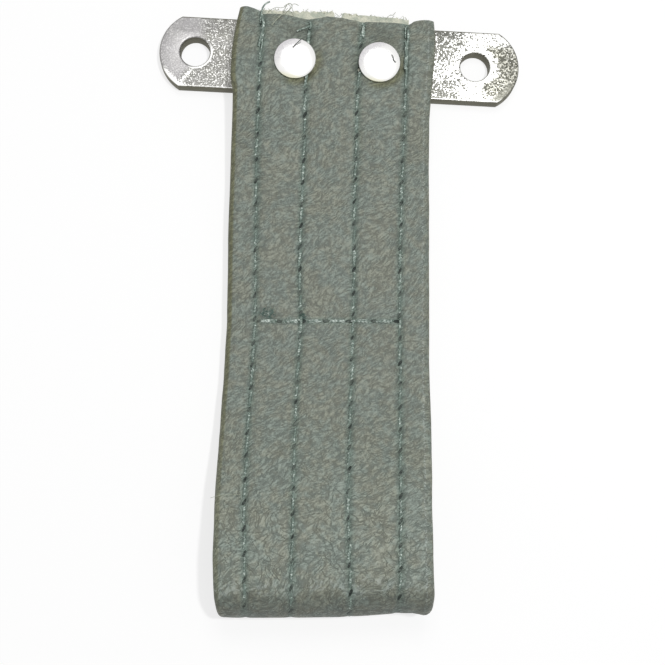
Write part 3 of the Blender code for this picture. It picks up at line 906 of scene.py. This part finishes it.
# A thread's tube: its sides and rings, how thin its ends are, and the plies' turn from one stitch to the next
SIDES = 8
RINGS = 7
END_TAPER = 0.75
TWIST_STEP = 0.37


def thread_template():
    """A straight capped tube along Z from 0 to 1 whose rings a thread's route will bend."""
    bm = bmesh.new()
    bmesh.ops.create_cone(bm, cap_ends=True, segments=SIDES, radius1=1.0, radius2=1.0, depth=1.0)
    bmesh.ops.translate(bm, verts=bm.verts[:], vec=(0, 0, 0.5))
    long_edges = [edge for edge in bm.edges if abs(edge.verts[0].co.z - edge.verts[1].co.z) > 0.5]
    bmesh.ops.subdivide_edges(bm, edges=long_edges, cuts=RINGS - 2, use_grid_fill=True)
    # Across, up and along a route make a left-handed set, which turns the faces round again
    bmesh.ops.reverse_faces(bm, faces=bm.faces[:])
    mesh = bpy.data.meshes.new("thread_template")
    bm.to_mesh(mesh)
    bm.free()
    return mesh


def make_threads(name, routes, widths, finish, *nodes):
    """One piece from many short threads. A route is its rings' middles, and its outward directions."""
    template = thread_template()
    shape = get_places(template)
    bm = bmesh.new()
    for _ in routes:
        bm.from_mesh(template)
    mesh = mesh_from(bm, name, 60.0)
    bpy.data.meshes.remove(template)
    ring = np.round(shape[:, 2] * (RINGS - 1)).astype(int)
    places, twists = [], []
    for number, ((middles, outs), (wide, thick)) in enumerate(zip(routes, widths)):
        tangents = unit(np.gradient(middles, axis=0))
        across = unit(np.cross(tangents, outs))
        up = np.cross(across, tangents)
        taper = np.where((ring == 0) | (ring == RINGS - 1), END_TAPER, 1.0)[:, None]
        places.append(middles[ring] + taper * (across[ring] * shape[:, :1] * wide / 2
                                               + up[ring] * shape[:, 1:2] * thick / 2))
        along = np.append(0.0, np.cumsum(np.linalg.norm(np.diff(middles, axis=0), axis=1))) / MM
        twists.append(np.column_stack([shape[:, :2], along[ring] + number * TWIST_STEP]))
    set_places(mesh, np.concatenate(places))
    set_attribute(mesh, "twist", np.concatenate(twists), "FLOAT_VECTOR")
    return add_piece(name, mesh, finish, "thread", *nodes)


# A stitch's rings: how far along it each lies, and how far over the plain vinyl
STITCH_TIMES = np.array([0.0, 0.12, 0.3, 0.5, 0.7, 0.88, 1.0])
STITCH_RISE = np.array([-0.62, -0.26, -0.14, -0.11, -0.13, -0.25, -0.62]) * MM


def lie_route(x, s, height):
    """A route's ring middles, and the directions that stand out from the strap there."""
    middles = place(x, s, height)
    return middles, unit(place(x, s, height + 0.1 * MM) - middles)


def under_rivet(middles):
    """Whether a stitch's middle is hidden under a rivet's head."""
    middle = middles[RINGS // 2]
    return any(math.hypot(middle[0] - head.x, middle[1] - head.y) < RIVET_HEAD / 2 + 0.3 * MM
               for head in rivet_places())


def row_stitches(row, chance):
    """The stitches of one row on the outer faces, and on the inner faces where the hand loop is open."""
    routes, widths = [], []
    ends = 1.6 * MM
    loop_y = SEAM_Y - 20 * MM
    loop_from, loop_to = PATH.length_at(loop_y), PATH.length_at(loop_y, back=True)
    for first, second in zip(HOLES[row], HOLES[row][1:]):
        if first < ends or second > PATH.length - ends:
            continue
        s = first + (second - first) * (0.11 + 0.78 * STITCH_TIMES)
        lean = (0.26 + 0.08 * chance.standard_normal()) * MM
        x = ROWS[row] - lean * (STITCH_TIMES - 0.5) + 0.04 * MM * chance.standard_normal()
        puff = 1 + 0.12 * chance.standard_normal()
        sunk = 0.12 * MM * (1 - off_fold(s))
        route = lie_route(x, s, LEG / 2 + STITCH_RISE - sunk)
        if not under_rivet(route[0]) or first > FOLD_MIDDLE:
            routes.append(route)
            widths.append((THREAD_WIDE * puff, THREAD_THICK))
        if loop_from < first < loop_to:
            middles, outs = lie_route(x[::-1], s, -LEG / 2 - STITCH_RISE)
            routes.append((middles, -outs))
            widths.append((THREAD_WIDE * 0.9, THREAD_THICK))
    return routes, widths


def cross_stitches(back, chance):
    """The seam that closes the hand loop: doubled stitches over the rows."""
    routes, widths = [], []
    rise = STITCH_RISE * 0.9 + 0.16 * MM
    for stitch in range(CROSS_STITCHES):
        for strand, offset in enumerate((-0.13 * MM, 0.15 * MM)):
            first = CROSS_START + CROSS_PITCH * stitch + chance.uniform(-0.35, 0.35) * MM
            x = first + CROSS_PITCH * CROSS_VISIBLE * (1.12 * STITCH_TIMES - 0.06)
            wander = offset + 0.22 * MM * chance.standard_normal() * (STITCH_TIMES - 0.5)
            routes.append(lie_route(x, cross_line(x, back) + wander, LEG / 2 + rise + strand * 0.05 * MM))
            widths.append((chance.uniform(0.36, 0.52) * MM, 0.38 * MM))
    return routes, widths


def knot_strands(chance):
    """The short tangle of thread just above the left end of the cross seam."""
    routes, widths = [], []
    for _ in range(7):
        x = CROSS_START + chance.uniform(0.0, 1.6) * MM + chance.uniform(0.8, 1.8) * MM * STITCH_TIMES
        lean = chance.uniform(-1.1, 0.7) * MM * STITCH_TIMES
        s = SEAM_FRONT - chance.uniform(0.5, 1.8) * MM + lean
        routes.append(lie_route(x, s, LEG / 2 + STITCH_RISE + 0.18 * MM))
        widths.append((0.34 * MM, 0.3 * MM))
    return routes, widths


def plate_outline():
    """The plate's edge: straight sides, and ends of a radius that meets them at a slight corner."""
    half_turn = math.asin(PLATE_WIDTH / 2 / PLATE_END_RADIUS)
    centre = PLATE_LENGTH / 2 - PLATE_END_RADIUS
    middle = (PLATE_LOW.x + PLATE_HIGH.x) / 2
    turns = np.linspace(-half_turn, half_turn, 33)
    right = [(centre + PLATE_END_RADIUS * math.cos(t), PLATE_END_RADIUS * math.sin(t)) for t in turns]
    return [(middle + x, y) for x, y in right + [(-x, -y) for x, y in right]]


def turned_mesh(name, profile, centre, steps=64):
    """A round solid from its half outline, a list of (radius, height) that starts and ends on the axis."""
    bm = bmesh.new()
    corners = [bm.verts.new((radius, 0.0, height)) for radius, height in profile]
    edges = [bm.edges.new(pair) for pair in zip(corners, corners[1:])]
    bmesh.ops.spin(bm, geom=corners + edges, axis=(0, 0, 1), cent=(0, 0, 0), angle=2 * math.pi,
                   steps=steps, use_merge=True)
    bmesh.ops.remove_doubles(bm, verts=bm.verts[:], dist=0.001 * MM)
    bmesh.ops.recalc_face_normals(bm, faces=bm.faces[:])
    bmesh.ops.translate(bm, verts=bm.verts[:], vec=centre)
    return mesh_from(bm, name)


def cut_out(target, cutters):
    """Takes the cutters' shapes out of a mesh, and returns the mesh that is left."""
    body = add_object("cutting_body", target)
    tools = [add_object("cutting_tool", mesh) for mesh in cutters]
    for tool in tools:
        boolean = body.modifiers.new("cut", "BOOLEAN")
        boolean.operation = "DIFFERENCE"
        boolean.solver = "EXACT"
        boolean.object = tool
    graph = bpy.context.evaluated_depsgraph_get()
    left = bpy.data.meshes.new_from_object(body.evaluated_get(graph))
    for obj in [body, *tools]:
        bpy.data.objects.remove(obj)
    return left


def make_plate(look, finish):
    """The plate with rounded edges, its screw holes rolled in, and the holes that the rivets fill."""
    bm = bmesh.new()
    base = bm.faces.new([bm.verts.new((x, y, 0.0)) for x, y in plate_outline()])
    raised = bmesh.ops.extrude_face_region(bm, geom=[base])["geom"]
    top = [item for item in raised if isinstance(item, bmesh.types.BMVert)]
    bmesh.ops.translate(bm, verts=top, vec=(0, 0, PLATE_THICK))
    bmesh.ops.recalc_face_normals(bm, faces=bm.faces[:])
    rims = [edge for edge in bm.edges if abs(edge.verts[0].co.z - edge.verts[1].co.z) < PLATE_THICK / 2]
    bmesh.ops.bevel(bm, geom=rims, offset=look.plate_edge, segments=4, profile=0.5, affect="EDGES",
                    material=-1)
    mesh = mesh_from(bm, "zinc_plate")
    below, above = -1.0 * MM, PLATE_THICK + 1.0 * MM
    radius, roll, past = SCREW_HOLE / 2, look.hole_roll, 0.25 * MM
    rolled = [(radius + roll * (1 - math.cos(turn)), PLATE_THICK - roll * (1 - math.sin(turn)))
              for turn in np.linspace(0.0, math.pi / 2, 7)]
    screw_cut = [(0, below), (radius, below), *rolled, (rolled[-1][0] + past, PLATE_THICK + past),
                 (0, PLATE_THICK + past)]
    tail, shank, sink = 3.5 * MM, 2.3 * MM, 1.5 * MM
    rivet_cut = [(0, below), (tail, below), (tail, 0), (shank, sink), (shank, above), (0, above)]
    cutters = [turned_mesh("screw_cut", screw_cut, (side * SCREW_PITCH / 2, 0, 0)) for side in (-1, 1)]
    cutters += [turned_mesh("rivet_cut", rivet_cut, (head.x, head.y, 0)) for head in rivet_places()]
    mesh = cut_out(mesh, cutters)
    shade_faces(mesh, 30.0)
    return add_piece("zinc_plate", mesh, finish, "plate", "mounting_plate")


def make_rivet(node, finish):
    """A low domed head with a rounded rim, a shank, and a tail spread into the plate's back."""
    low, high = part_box(node)
    centre = ((low.x + high.x) / 2, (low.y + high.y) / 2, 0)
    head, top = RIVET_HEAD / 2, high.z
    seat, shank, tail, rim = top - 1.1 * MM, 2.0 * MM, 3.2 * MM, 0.25 * MM
    profile = [(0, low.z + 0.1 * MM), (1.1 * MM, low.z), (tail - 0.3 * MM, low.z), (tail, low.z + 0.12 * MM),
               (shank, 1.2 * MM), (shank, seat), (head - rim, seat)]
    profile += [(head - rim + rim * math.sin(turn), seat + rim * (1 - math.cos(turn)))
                for turn in np.linspace(0.2, math.pi / 2, 6)]
    profile += [(head * math.cos(turn) ** 0.7, seat + rim + (top - seat - rim) * math.sin(turn))
                for turn in np.linspace(0.0, math.pi / 2, 16)[1:-1]]
    profile.append((0, top))
    mesh = turned_mesh(node, profile, centre, 72)
    return add_piece(node.replace("rivet_", "") + "_rivet", mesh, finish, "rivet", node)


def make_strands(name, routes, finish, slot):
    """Loose fibres as thin capped tubes along smooth routes, each a list of places with a radius."""
    data = bpy.data.curves.new(name, "CURVE")
    data.dimensions = "3D"
    data.bevel_depth = 1.0 * MM
    data.bevel_resolution = 1
    data.use_fill_caps = True
    data.resolution_u = 3
    for points, radius in routes:
        spline = data.splines.new("NURBS")
        spline.points.add(len(points) - 1)
        for item, point in zip(spline.points, points):
            item.co = (*point, 1.0)
            item.radius = radius / MM
        spline.order_u = 3
        spline.use_endpoint_u = True
    loose = add_object(name + "_route", data)
    mesh = bpy.data.meshes.new_from_object(loose.evaluated_get(bpy.context.evaluated_depsgraph_get()))
    bpy.data.objects.remove(loose)
    mesh.name = name
    mesh.shade_smooth()
    return add_piece(name, mesh, finish, slot)


def frayed_routes(look):
    """Short fibres that stand out of the webbing's two cut ends."""
    chance = np.random.default_rng(SEED + 20)
    share = np.array([0.0, 0.35, 0.7, 1.0])
    routes = []
    for s in (0.0, PATH.length):
        for _ in range(look.fray_count):
            x = chance.uniform(-14.9, 14.9) * MM
            height = chance.uniform(-0.35, 0.35) * MM
            length = chance.uniform(0.2, 0.9) * MM
            lean = chance.normal(0.0, 0.6) * MM
            lift = chance.normal(0.15, 0.3) * MM
            points = place(x + lean * share ** 1.5, np.full_like(share, s), height + lift * share ** 2,
                           0.5 * MM - share * length)
            routes.append((points, chance.uniform(0.03, 0.07) * MM))
    return routes


# Loose ends at the cut edge, in mm on the front leg: x, y and height over its front face, with a half width
GREEN_ENDS = [
    ([(-14.9, 4.2, 0.0), (-14.8, 6.2, 0.2), (-14.5, 7.4, 0.5), (-13.9, 8.3, 0.6), (-13.1, 8.7, 0.5)], 0.17),
    ([(-14.7, 5.9, 0.1), (-14.2, 4.6, 0.35), (-14.3, 2.6, 0.25), (-14.8, 0.9, 0.25), (-15.1, -0.7, 0.1)],
     0.3),
    ([(-14.4, 5.4, 0.1), (-14.6, 3.9, 0.3), (-14.1, 2.0, 0.3), (-14.5, 0.2, 0.2)], 0.16),
    ([(-4.6, 4.5, 0.1), (-5.6, 3.8, 0.4), (-6.6, 3.4, 0.45), (-7.5, 3.0, 0.3)], 0.16),
    ([(-5.0, 5.2, 0.2), (-4.5, 4.6, 0.4), (-4.9, 3.6, 0.3)], 0.2),
    ([(5.7, 5.6, 0.1), (6.2, 4.6, 0.25), (5.5, 3.6, 0.2), (5.9, 2.6, 0.1)], 0.2),
    ([(6.2, 5.4, 0.1), (5.5, 4.5, 0.3), (6.2, 3.7, 0.25), (5.8, 2.8, 0.1)], 0.22),
    ([(14.6, 5.8, 0.1), (14.2, 4.6, 0.3), (14.4, 3.2, 0.2)], 0.17),
    ([(14.9, 5.0, 0.0), (15.1, 2.8, 0.15), (14.3, 1.0, 0.1), (15.0, -1.2, 0.1), (14.4, -3.4, -0.05)], 0.28),
    ([(14.4, 2.6, 0.0), (15.0, 0.4, 0.05), (14.3, -1.8, 0.1), (14.9, -4.0, 0.0), (14.5, -6.6, -0.1)], 0.26),
    ([(-14.4, 0.4, 0.0), (-14.5, -1.6, 0.2), (-14.9, -3.4, 0.05)], 0.17),
]
DARK_ENDS = [
    ([(-6.6, 1.1, 0.95), (-7.2, 0.4, 1.05), (-7.7, -0.1, 1.08), (-8.3, -0.8, 1.1)], 0.09),
    ([(11.6, -0.8, 0.95), (12.0, -1.3, 0.95), (11.9, -1.9, 0.9), (12.5, -2.3, 0.8)], 0.07),
]
PALE_ENDS = [
    ([(-21.3, -89.9, -0.4), (-19.8, -89.6, 0.1), (-17.5, -89.4, 0.12), (-15.6, -89.5, 0.1)], 0.035),
    ([(-10.1, 6.7, 0.2), (-10.9, 5.9, 0.5), (-11.8, 4.9, 0.5), (-12.6, 3.9, 0.25)], 0.10),
    ([(-10.3, 6.6, 0.0), (-9.9, 8.3, 0.4), (-9.0, 8.8, 0.5), (-8.4, 8.0, 0.5), (-9.2, 7.2, 0.4)], 0.07),
    ([(-9.8, 6.8, 0.1), (-8.6, 7.7, 0.5), (-9.5, 8.7, 0.6), (-10.2, 7.9, 0.5)], 0.06),
    ([(-8.0, 6.5, 0.0), (-8.9, 7.9, 0.4), (-8.2, 8.9, 0.5), (-7.3, 8.4, 0.3)], 0.06),
    ([(-13.4, 7.0, -0.6), (-12.0, 8.1, -0.2), (-10.6, 7.6, 0.1), (-9.6, 8.2, 0.2)], 0.05),
    ([(10.4, 7.3, -0.6), (11.2, 8.2, -0.3), (11.9, 7.8, 0.0), (12.3, 8.6, 0.0)], 0.06),
]


def laid_routes(ends):
    """Loose ends as routes in the frame."""
    routes = []
    for points, radius in ends:
        x, y, height = in_metres(points)
        past = np.minimum(STRAP_TOP - y, 0.0)
        s = np.array([PATH.length_at(min(one, STRAP_TOP)) for one in y])
        routes.append((place(x, s, LEG / 2 + height, past, measured=True), radius * MM))
    return routes


def tone_setting(name, description, default):
    """A colour that the user may change."""
    return bpy.props.FloatVectorProperty(name=name, description=description, subtype="COLOR",
                                         default=default)


def length_setting(name, description, default):
    """A length that the user may change."""
    return bpy.props.FloatProperty(name=name, description=description, unit="LENGTH", default=default)


def share_setting(name, description, default):
    """A share from 0 to 1 that the user may change."""
    return bpy.props.FloatProperty(name=name, description=description, subtype="FACTOR", default=default)


class VinylLook(bpy.types.PropertyGroup):
    """Tones, grain and relief of the vinyl"""
    olive: tone_setting("Olive", "The warmer of the vinyl's two tones", (0.197, 0.210, 0.168))
    cool: tone_setting("Cool", "The cooler of the vinyl's two tones", (0.180, 0.213, 0.185))
    # The edge tone is in part painted shade on the turned edges, and it also tints the vinyl at the lower
    # right of each rivet
    edge: tone_setting("Edge", "Tone of the turned edges", (0.150, 0.152, 0.084))
    # Tone of the painted shade in the dishes above the rivets
    dish_shade: tone_setting("Deep", "Tone of the dishes above the rivets", (0.105, 0.118, 0.092))
    # Tone of the painted highlights on the fold's ridge and along the right edge
    painted_sheen: tone_setting("Worn", "Tone of the rubbed ridge above the fold", (0.36, 0.40, 0.38))
    row: tone_setting("Row", "Tone beside the stitches", (0.138, 0.185, 0.160))
    # Tone of the painted shade under the knots of the cross seam
    knot: tone_setting("Knot", "Tone under the knot of the cross seam", (0.032, 0.062, 0.050))
    # Tone of the painted shade in the needle holes
    pit_shade: tone_setting("Needle hole", "Tone in the needle holes", (0.012, 0.02, 0.016))
    grain_shade: share_setting("Grain shade", "How much the grain varies the tone", 0.7)
    grain_turn: bpy.props.FloatProperty(
        name="Grain turn", description="Turn of the wrinkles, in degrees", default=-52.0)
    roughness: share_setting("Roughness", "Roughness of the vinyl", 0.5)
    grain_size: length_setting("Grain size", "Width of the grain's wrinkles", 0.6 * MM)
    grain_depth: length_setting("Grain depth", "Depth of the grain", 0.2 * MM)
    wave: length_setting("Wave", "Slow unevenness of the faces", 0.14 * MM)
    crown: length_setting("Crown", "How far the vinyl stands up between rows", 0.12 * MM)
    groove: length_setting("Groove", "How far a row pulls the vinyl in", 0.24 * MM)
    pit_depth: length_setting("Needle hole depth", "Depth of the needle holes", 0.4 * MM)
    pucker: length_setting("Pucker", "Height of the puckers beside stitches", 0.1 * MM)
    dish: length_setting("Dish", "How far a rivet pulls the vinyl in", 0.45 * MM)
    dish_wide: length_setting("Dish width", "Width of the dish round a rivet", 2.2 * MM)
    row_step: length_setting("Mesh step", "Length of the sleeve's faces", 0.55 * MM)


class ThreadLook(bpy.types.PropertyGroup):
    """Tones and twist of the thread"""
    light: tone_setting("Light", "Tone of the bright fibres", (0.20, 0.265, 0.225))
    dark: tone_setting("Dark", "Tone between the fibres", (0.125, 0.168, 0.143))
    # Tone of the painted highlights on the thread
    fleck: tone_setting("Fleck", "Tone of the pale flecks", (0.70, 0.78, 0.72))
    cross_light: tone_setting("Cross seam light",
                              "Tone of the cross seam's bright fibres", (0.58, 0.65, 0.60))
    cross_dark: tone_setting("Cross seam dark", "Tone between the cross seam's fibres", (0.13, 0.18, 0.15))
    knot: tone_setting("Knot", "Tone of the knot's thread", (0.05, 0.09, 0.072))
    roughness: share_setting("Roughness", "Roughness of the thread", 0.5)
    twist: bpy.props.FloatProperty(
        name="Twist", description="Turns of the plies, in radians for each millimetre", default=9.0)


class WebbingLook(bpy.types.PropertyGroup):
    """Tones and cut ends of the webbing"""
    colour: tone_setting("Colour", "Tone of the cotton", (0.74, 0.74, 0.61))
    tint: tone_setting("Tint", "Greenish tone of some fibres", (0.50, 0.54, 0.45))
    shade: tone_setting("Shade", "Tone between the fibres", (0.35, 0.36, 0.30))
    ragged: length_setting("Ragged", "How uneven the cut ends are", 0.35 * MM)
    fray_count: bpy.props.IntProperty(
        name="Frayed fibres", description="Fibres that stand out of each cut end", default=110)


class MetalLook(bpy.types.PropertyGroup):
    """Finishes of the plate and the rivets, and the plate's rounded edges"""
    zinc: tone_setting("Zinc", "Tone of the plating", (0.165, 0.165, 0.14))
    zinc_cool: tone_setting("Cool zinc", "Cooler tone of the plating", (0.23, 0.225, 0.225))
    zinc_soft: tone_setting("Soft zinc", "Even, lilac tone of the left end", (0.36, 0.35, 0.36))
    # This tone is also the right tab's painted reflection and the plate's painted highlights
    zinc_bright: tone_setting("Bright specks", "Tone of the bright specks", (0.90, 0.90, 0.87))
    zinc_dark: tone_setting("Dark specks", "Tone of the pits", (0.06, 0.06, 0.048))
    zinc_olive: tone_setting("Olive zinc", "Tone of the right tab's end", (0.27, 0.265, 0.21))
    # Tone of the cut edges, in part painted shade
    zinc_wall: tone_setting("Plate walls", "Tone of the cut edges", (0.15, 0.145, 0.11))
    zinc_roughness: share_setting("Zinc roughness", "Roughness of the plating", 0.45)
    speck_size: length_setting("Speck size", "Size of the specks", 0.28 * MM)
    plate_edge: length_setting("Edge radius", "Radius of the plate's edges", 0.35 * MM)
    hole_roll: length_setting("Hole radius", "Radius rolled round each screw hole", 0.5 * MM)
    nickel: tone_setting("Nickel", "Tone of the rivets", (0.86, 0.855, 0.84))
    nickel_shade: tone_setting("Nickel shade", "Duller tone of the rivets", (0.68, 0.665, 0.68))
    # Tone of the painted reflection on the rivets' lower rims
    nickel_reflection: tone_setting("Nickel yellow", "Tone of the rivets' lower rims", (0.80, 0.78, 0.52))
    nickel_roughness: share_setting("Nickel roughness", "Roughness of the rivets", 0.24)


class StageLook(bpy.types.PropertyGroup):
    """The floor and the lights"""
    floor: tone_setting("Floor", "Tone of the floor", (0.82, 0.82, 0.81))
    floor_seen: tone_setting("Floor in view",
                             "How much of the floor's tone in view is lit", (0.27, 0.27, 0.27))
    floor_glow: bpy.props.FloatProperty(
        name="Floor glow", description="Light that the floor adds in view, which whitens it", default=0.75)
    sky: bpy.props.FloatProperty(
        name="Sky", description="Strength of the even light from all round", default=0.27)
    key: bpy.props.FloatProperty(
        name="Key light", description="Power of the small light at the right, in watts", default=1.9)
    key_size: length_setting("Key size", "Width of the light at the right", 0.03)
    fill: bpy.props.FloatProperty(
        name="Fill light", description="Power of the broad light above the plate, in watts", default=0.55)
    fill_size: length_setting("Fill size", "Width of the broad light", 0.2)


class StrapLook(bpy.types.PropertyGroup):
    """Every setting of the strap"""
    vinyl: bpy.props.PointerProperty(type=VinylLook, name="Vinyl")
    thread: bpy.props.PointerProperty(type=ThreadLook, name="Thread")
    webbing: bpy.props.PointerProperty(type=WebbingLook, name="Webbing")
    metal: bpy.props.PointerProperty(type=MetalLook, name="Metal")
    stage: bpy.props.PointerProperty(type=StageLook, name="Stage")


class PULLSTRAP_OT_sleeve(bpy.types.Operator):
    """Make the vinyl sleeve, folded in half and pulled in by its stitches and rivets"""
    bl_idname = "pullstrap.sleeve"
    bl_label = "Vinyl sleeve"

    def execute(self, context):
        look = context.scene.pull_strap.vinyl
        make_sleeve(look, vinyl_material(look))
        return {"FINISHED"}


class PULLSTRAP_OT_band(bpy.types.Operator):
    """Make the webbing band inside the sleeve, with its frayed ends"""
    bl_idname = "pullstrap.band"
    bl_label = "Webbing band"

    def execute(self, context):
        look = context.scene.pull_strap.webbing
        finish = webbing_material(look)
        make_band(look, finish)
        make_strands("frayed_fibres", frayed_routes(look), finish, "webbing")
        grey = fibre_material("grey_fibre", GREY_FIBRE)
        make_strands("loose_fibres", laid_routes(PALE_ENDS), grey, "webbing")
        return {"FINISHED"}


class PULLSTRAP_OT_stitches(bpy.types.Operator):
    """Make the four rows of stitches, the seam that closes the hand loop and the loose thread ends"""
    bl_idname = "pullstrap.stitches"
    bl_label = "Stitches"

    def execute(self, context):
        look = context.scene.pull_strap.thread
        finish = thread_material("sea_green_thread", look, look.dark, look.light)
        pale = thread_material("pale_green_thread", look, look.cross_dark, look.cross_light)
        dark = thread_material("dark_green_thread", look, look.knot, look.dark)
        chance = np.random.default_rng(SEED)
        for row in range(len(ROWS)):
            routes, widths = row_stitches(row, chance)
            make_threads(f"row_{row + 1}_stitches", routes, widths, finish, f"stitch_row_{row + 1}")
        for side in ("front", "back"):
            routes, widths = cross_stitches(side == "back", chance)
            make_threads(f"cross_seam_{side}", routes, widths, pale, f"cross_stitch_{side}")
        make_threads("seam_knot", *knot_strands(chance), dark)
        make_strands("loose_thread_ends", laid_routes(GREEN_ENDS), finish, "thread")
        black = fibre_material("dark_fibre", DARK_FIBRE)
        make_strands("dark_fibres", laid_routes(DARK_ENDS), black, "thread")
        return {"FINISHED"}


class PULLSTRAP_OT_plate(bpy.types.Operator):
    """Make the zinc plated mounting plate"""
    bl_idname = "pullstrap.plate"
    bl_label = "Mounting plate"

    def execute(self, context):
        look = context.scene.pull_strap.metal
        make_plate(look, zinc_material(look))
        return {"FINISHED"}


class PULLSTRAP_OT_rivets(bpy.types.Operator):
    """Make the two nickel plated rivets"""
    bl_idname = "pullstrap.rivets"
    bl_label = "Rivets"

    def execute(self, context):
        finish = nickel_material(context.scene.pull_strap.metal)
        for node in ("rivet_left", "rivet_right"):
            make_rivet(node, finish)
        return {"FINISHED"}


class PULLSTRAP_OT_stage(bpy.types.Operator):
    """Set up the floor, the lights and the camera"""
    bl_idname = "pullstrap.stage"
    bl_label = "Stage"

    def execute(self, context):
        look = context.scene.pull_strap.stage
        make_floor(look)
        make_lights(look)
        make_camera(context.scene)
        return {"FINISHED"}


def seen_directly(g):
    """1 for rays from the camera and for reflections, 0 for the light that falls on things."""
    rays = g.add("ShaderNodeLightPath", {})
    seen = rays.other("Is Camera Ray").math("MAXIMUM", rays.other("Is Glossy Ray"))
    return seen.math("MAXIMUM", rays.other("Is Transmission Ray"))


# The stage: the floor's half width and depth under the strap, the lights' places and white light
FLOOR_HALF = 3.0
FLOOR_DEPTH = 0.05 * MM
KEY_PLACE = Vector((0.14, -0.05, 0.60))
FILL_PLACE = Vector((0.0, 0.15, 0.50))
WHITE = (1.0, 1.0, 1.0)


def make_floor(look):
    """A pale floor that looks white and still takes soft shadows."""
    bm = bmesh.new()
    bmesh.ops.create_grid(bm, x_segments=1, y_segments=1, size=FLOOR_HALF)
    bmesh.ops.translate(bm, verts=bm.verts[:], vec=(0, 0, -FLOOR_DEPTH))
    floor = add_object("floor", mesh_from(bm, "floor"))
    made, g = new_material("pale_floor")
    plain = g.add("ShaderNodeBsdfDiffuse", {}, color=look.floor)
    seen = g.add("ShaderNodeBsdfDiffuse", {}, color=look.floor_seen)
    glow = g.add("ShaderNodeEmission", {}, color=WHITE, strength=look.floor_glow)
    lit = g.add("ShaderNodeAddShader", {}, seen, glow)
    g.add("ShaderNodeOutputMaterial", {}, g.add("ShaderNodeMixShader", {}, seen_directly(g), plain, lit))
    floor.data.materials.append(made)


def make_lights(look):
    """Even light from all round, which is white in view, and two lamps."""
    world = bpy.data.worlds.new("studio")
    bpy.context.scene.world = world
    g = Graph(world)
    soft = g.add("ShaderNodeBackground", {}, color=WHITE, strength=look.sky)
    white = g.add("ShaderNodeBackground", {}, color=WHITE, strength=1.0)
    g.add("ShaderNodeOutputWorld", {}, g.add("ShaderNodeMixShader", {}, seen_directly(g), soft, white))
    add_light("key", KEY_PLACE, look.key_size, look.key)
    add_light("fill", FILL_PLACE, look.fill_size, look.fill)


def add_light(name, spot, size, power):
    """A square light that faces the strap's middle."""
    data = bpy.data.lights.new(name, "AREA")
    data.size = size
    data.energy = power
    light = add_object(name, data)
    light.location = spot
    middle = Vector((0, (CAD_LOW.y + CAD_HIGH.y) / 2, 0))
    light.rotation_euler = (middle - spot).to_track_quat("-Z", "Y").to_euler()


# The photograph's camera, from a fit to measured points of the plate, rivets and strap
CAMERA_PLACE = (-5.065 * MM, -96.1 * MM, 252.35 * MM)
CAMERA_TURN = (8.870, -1.982, 2.492)
CAMERA_LENS = 68.85
CAMERA_SENSOR = 36.0


def make_camera(scene):
    """The camera that took the photograph, and plain colours."""
    data = bpy.data.cameras.new("camera")
    data.sensor_fit = "HORIZONTAL"
    data.sensor_width = CAMERA_SENSOR
    data.lens = CAMERA_LENS
    data.clip_start = 0.01
    data.clip_end = 20.0
    camera = add_object("camera", data)
    camera.location = CAMERA_PLACE
    camera.rotation_euler = [math.radians(turn) for turn in CAMERA_TURN]
    scene.camera = camera
    scene.view_settings.view_transform = "Standard"


OPERATORS = (PULLSTRAP_OT_sleeve, PULLSTRAP_OT_band, PULLSTRAP_OT_stitches, PULLSTRAP_OT_plate,
             PULLSTRAP_OT_rivets, PULLSTRAP_OT_stage)


class PULLSTRAP_PT_panel(bpy.types.Panel):
    """The strap's pieces, in the order in which they are made"""
    bl_idname = "PULLSTRAP_PT_panel"
    bl_label = "Pull Strap"
    bl_space_type = "VIEW_3D"
    bl_region_type = "UI"
    bl_category = "Pull Strap"

    def draw(self, context):
        look = context.scene.pull_strap
        for group in (look.vinyl, look.thread, look.webbing, look.metal, look.stage):
            box = self.layout.box()
            for name in group.bl_rna.properties.keys():
                if name not in ("rna_type", "name"):
                    box.prop(group, name)
        for operator in OPERATORS:
            self.layout.operator(operator.bl_idname)


CLASSES = (VinylLook, ThreadLook, WebbingLook, MetalLook, StageLook, StrapLook, *OPERATORS,
           PULLSTRAP_PT_panel)


def register():
    """Registers the classes and the scene's settings."""
    for item in CLASSES:
        bpy.utils.register_class(item)
    bpy.types.Scene.pull_strap = bpy.props.PointerProperty(type=StrapLook)


def unregister():
    """Takes the settings and the classes away again."""
    del bpy.types.Scene.pull_strap
    for item in reversed(CLASSES):
        bpy.utils.unregister_class(item)


def main():
    """Makes every piece and the stage."""
    register()
    for operator in OPERATORS:
        group, name = operator.bl_idname.split(".")
        getattr(getattr(bpy.ops, group), name)()


if __name__ == "__main__":
    main()
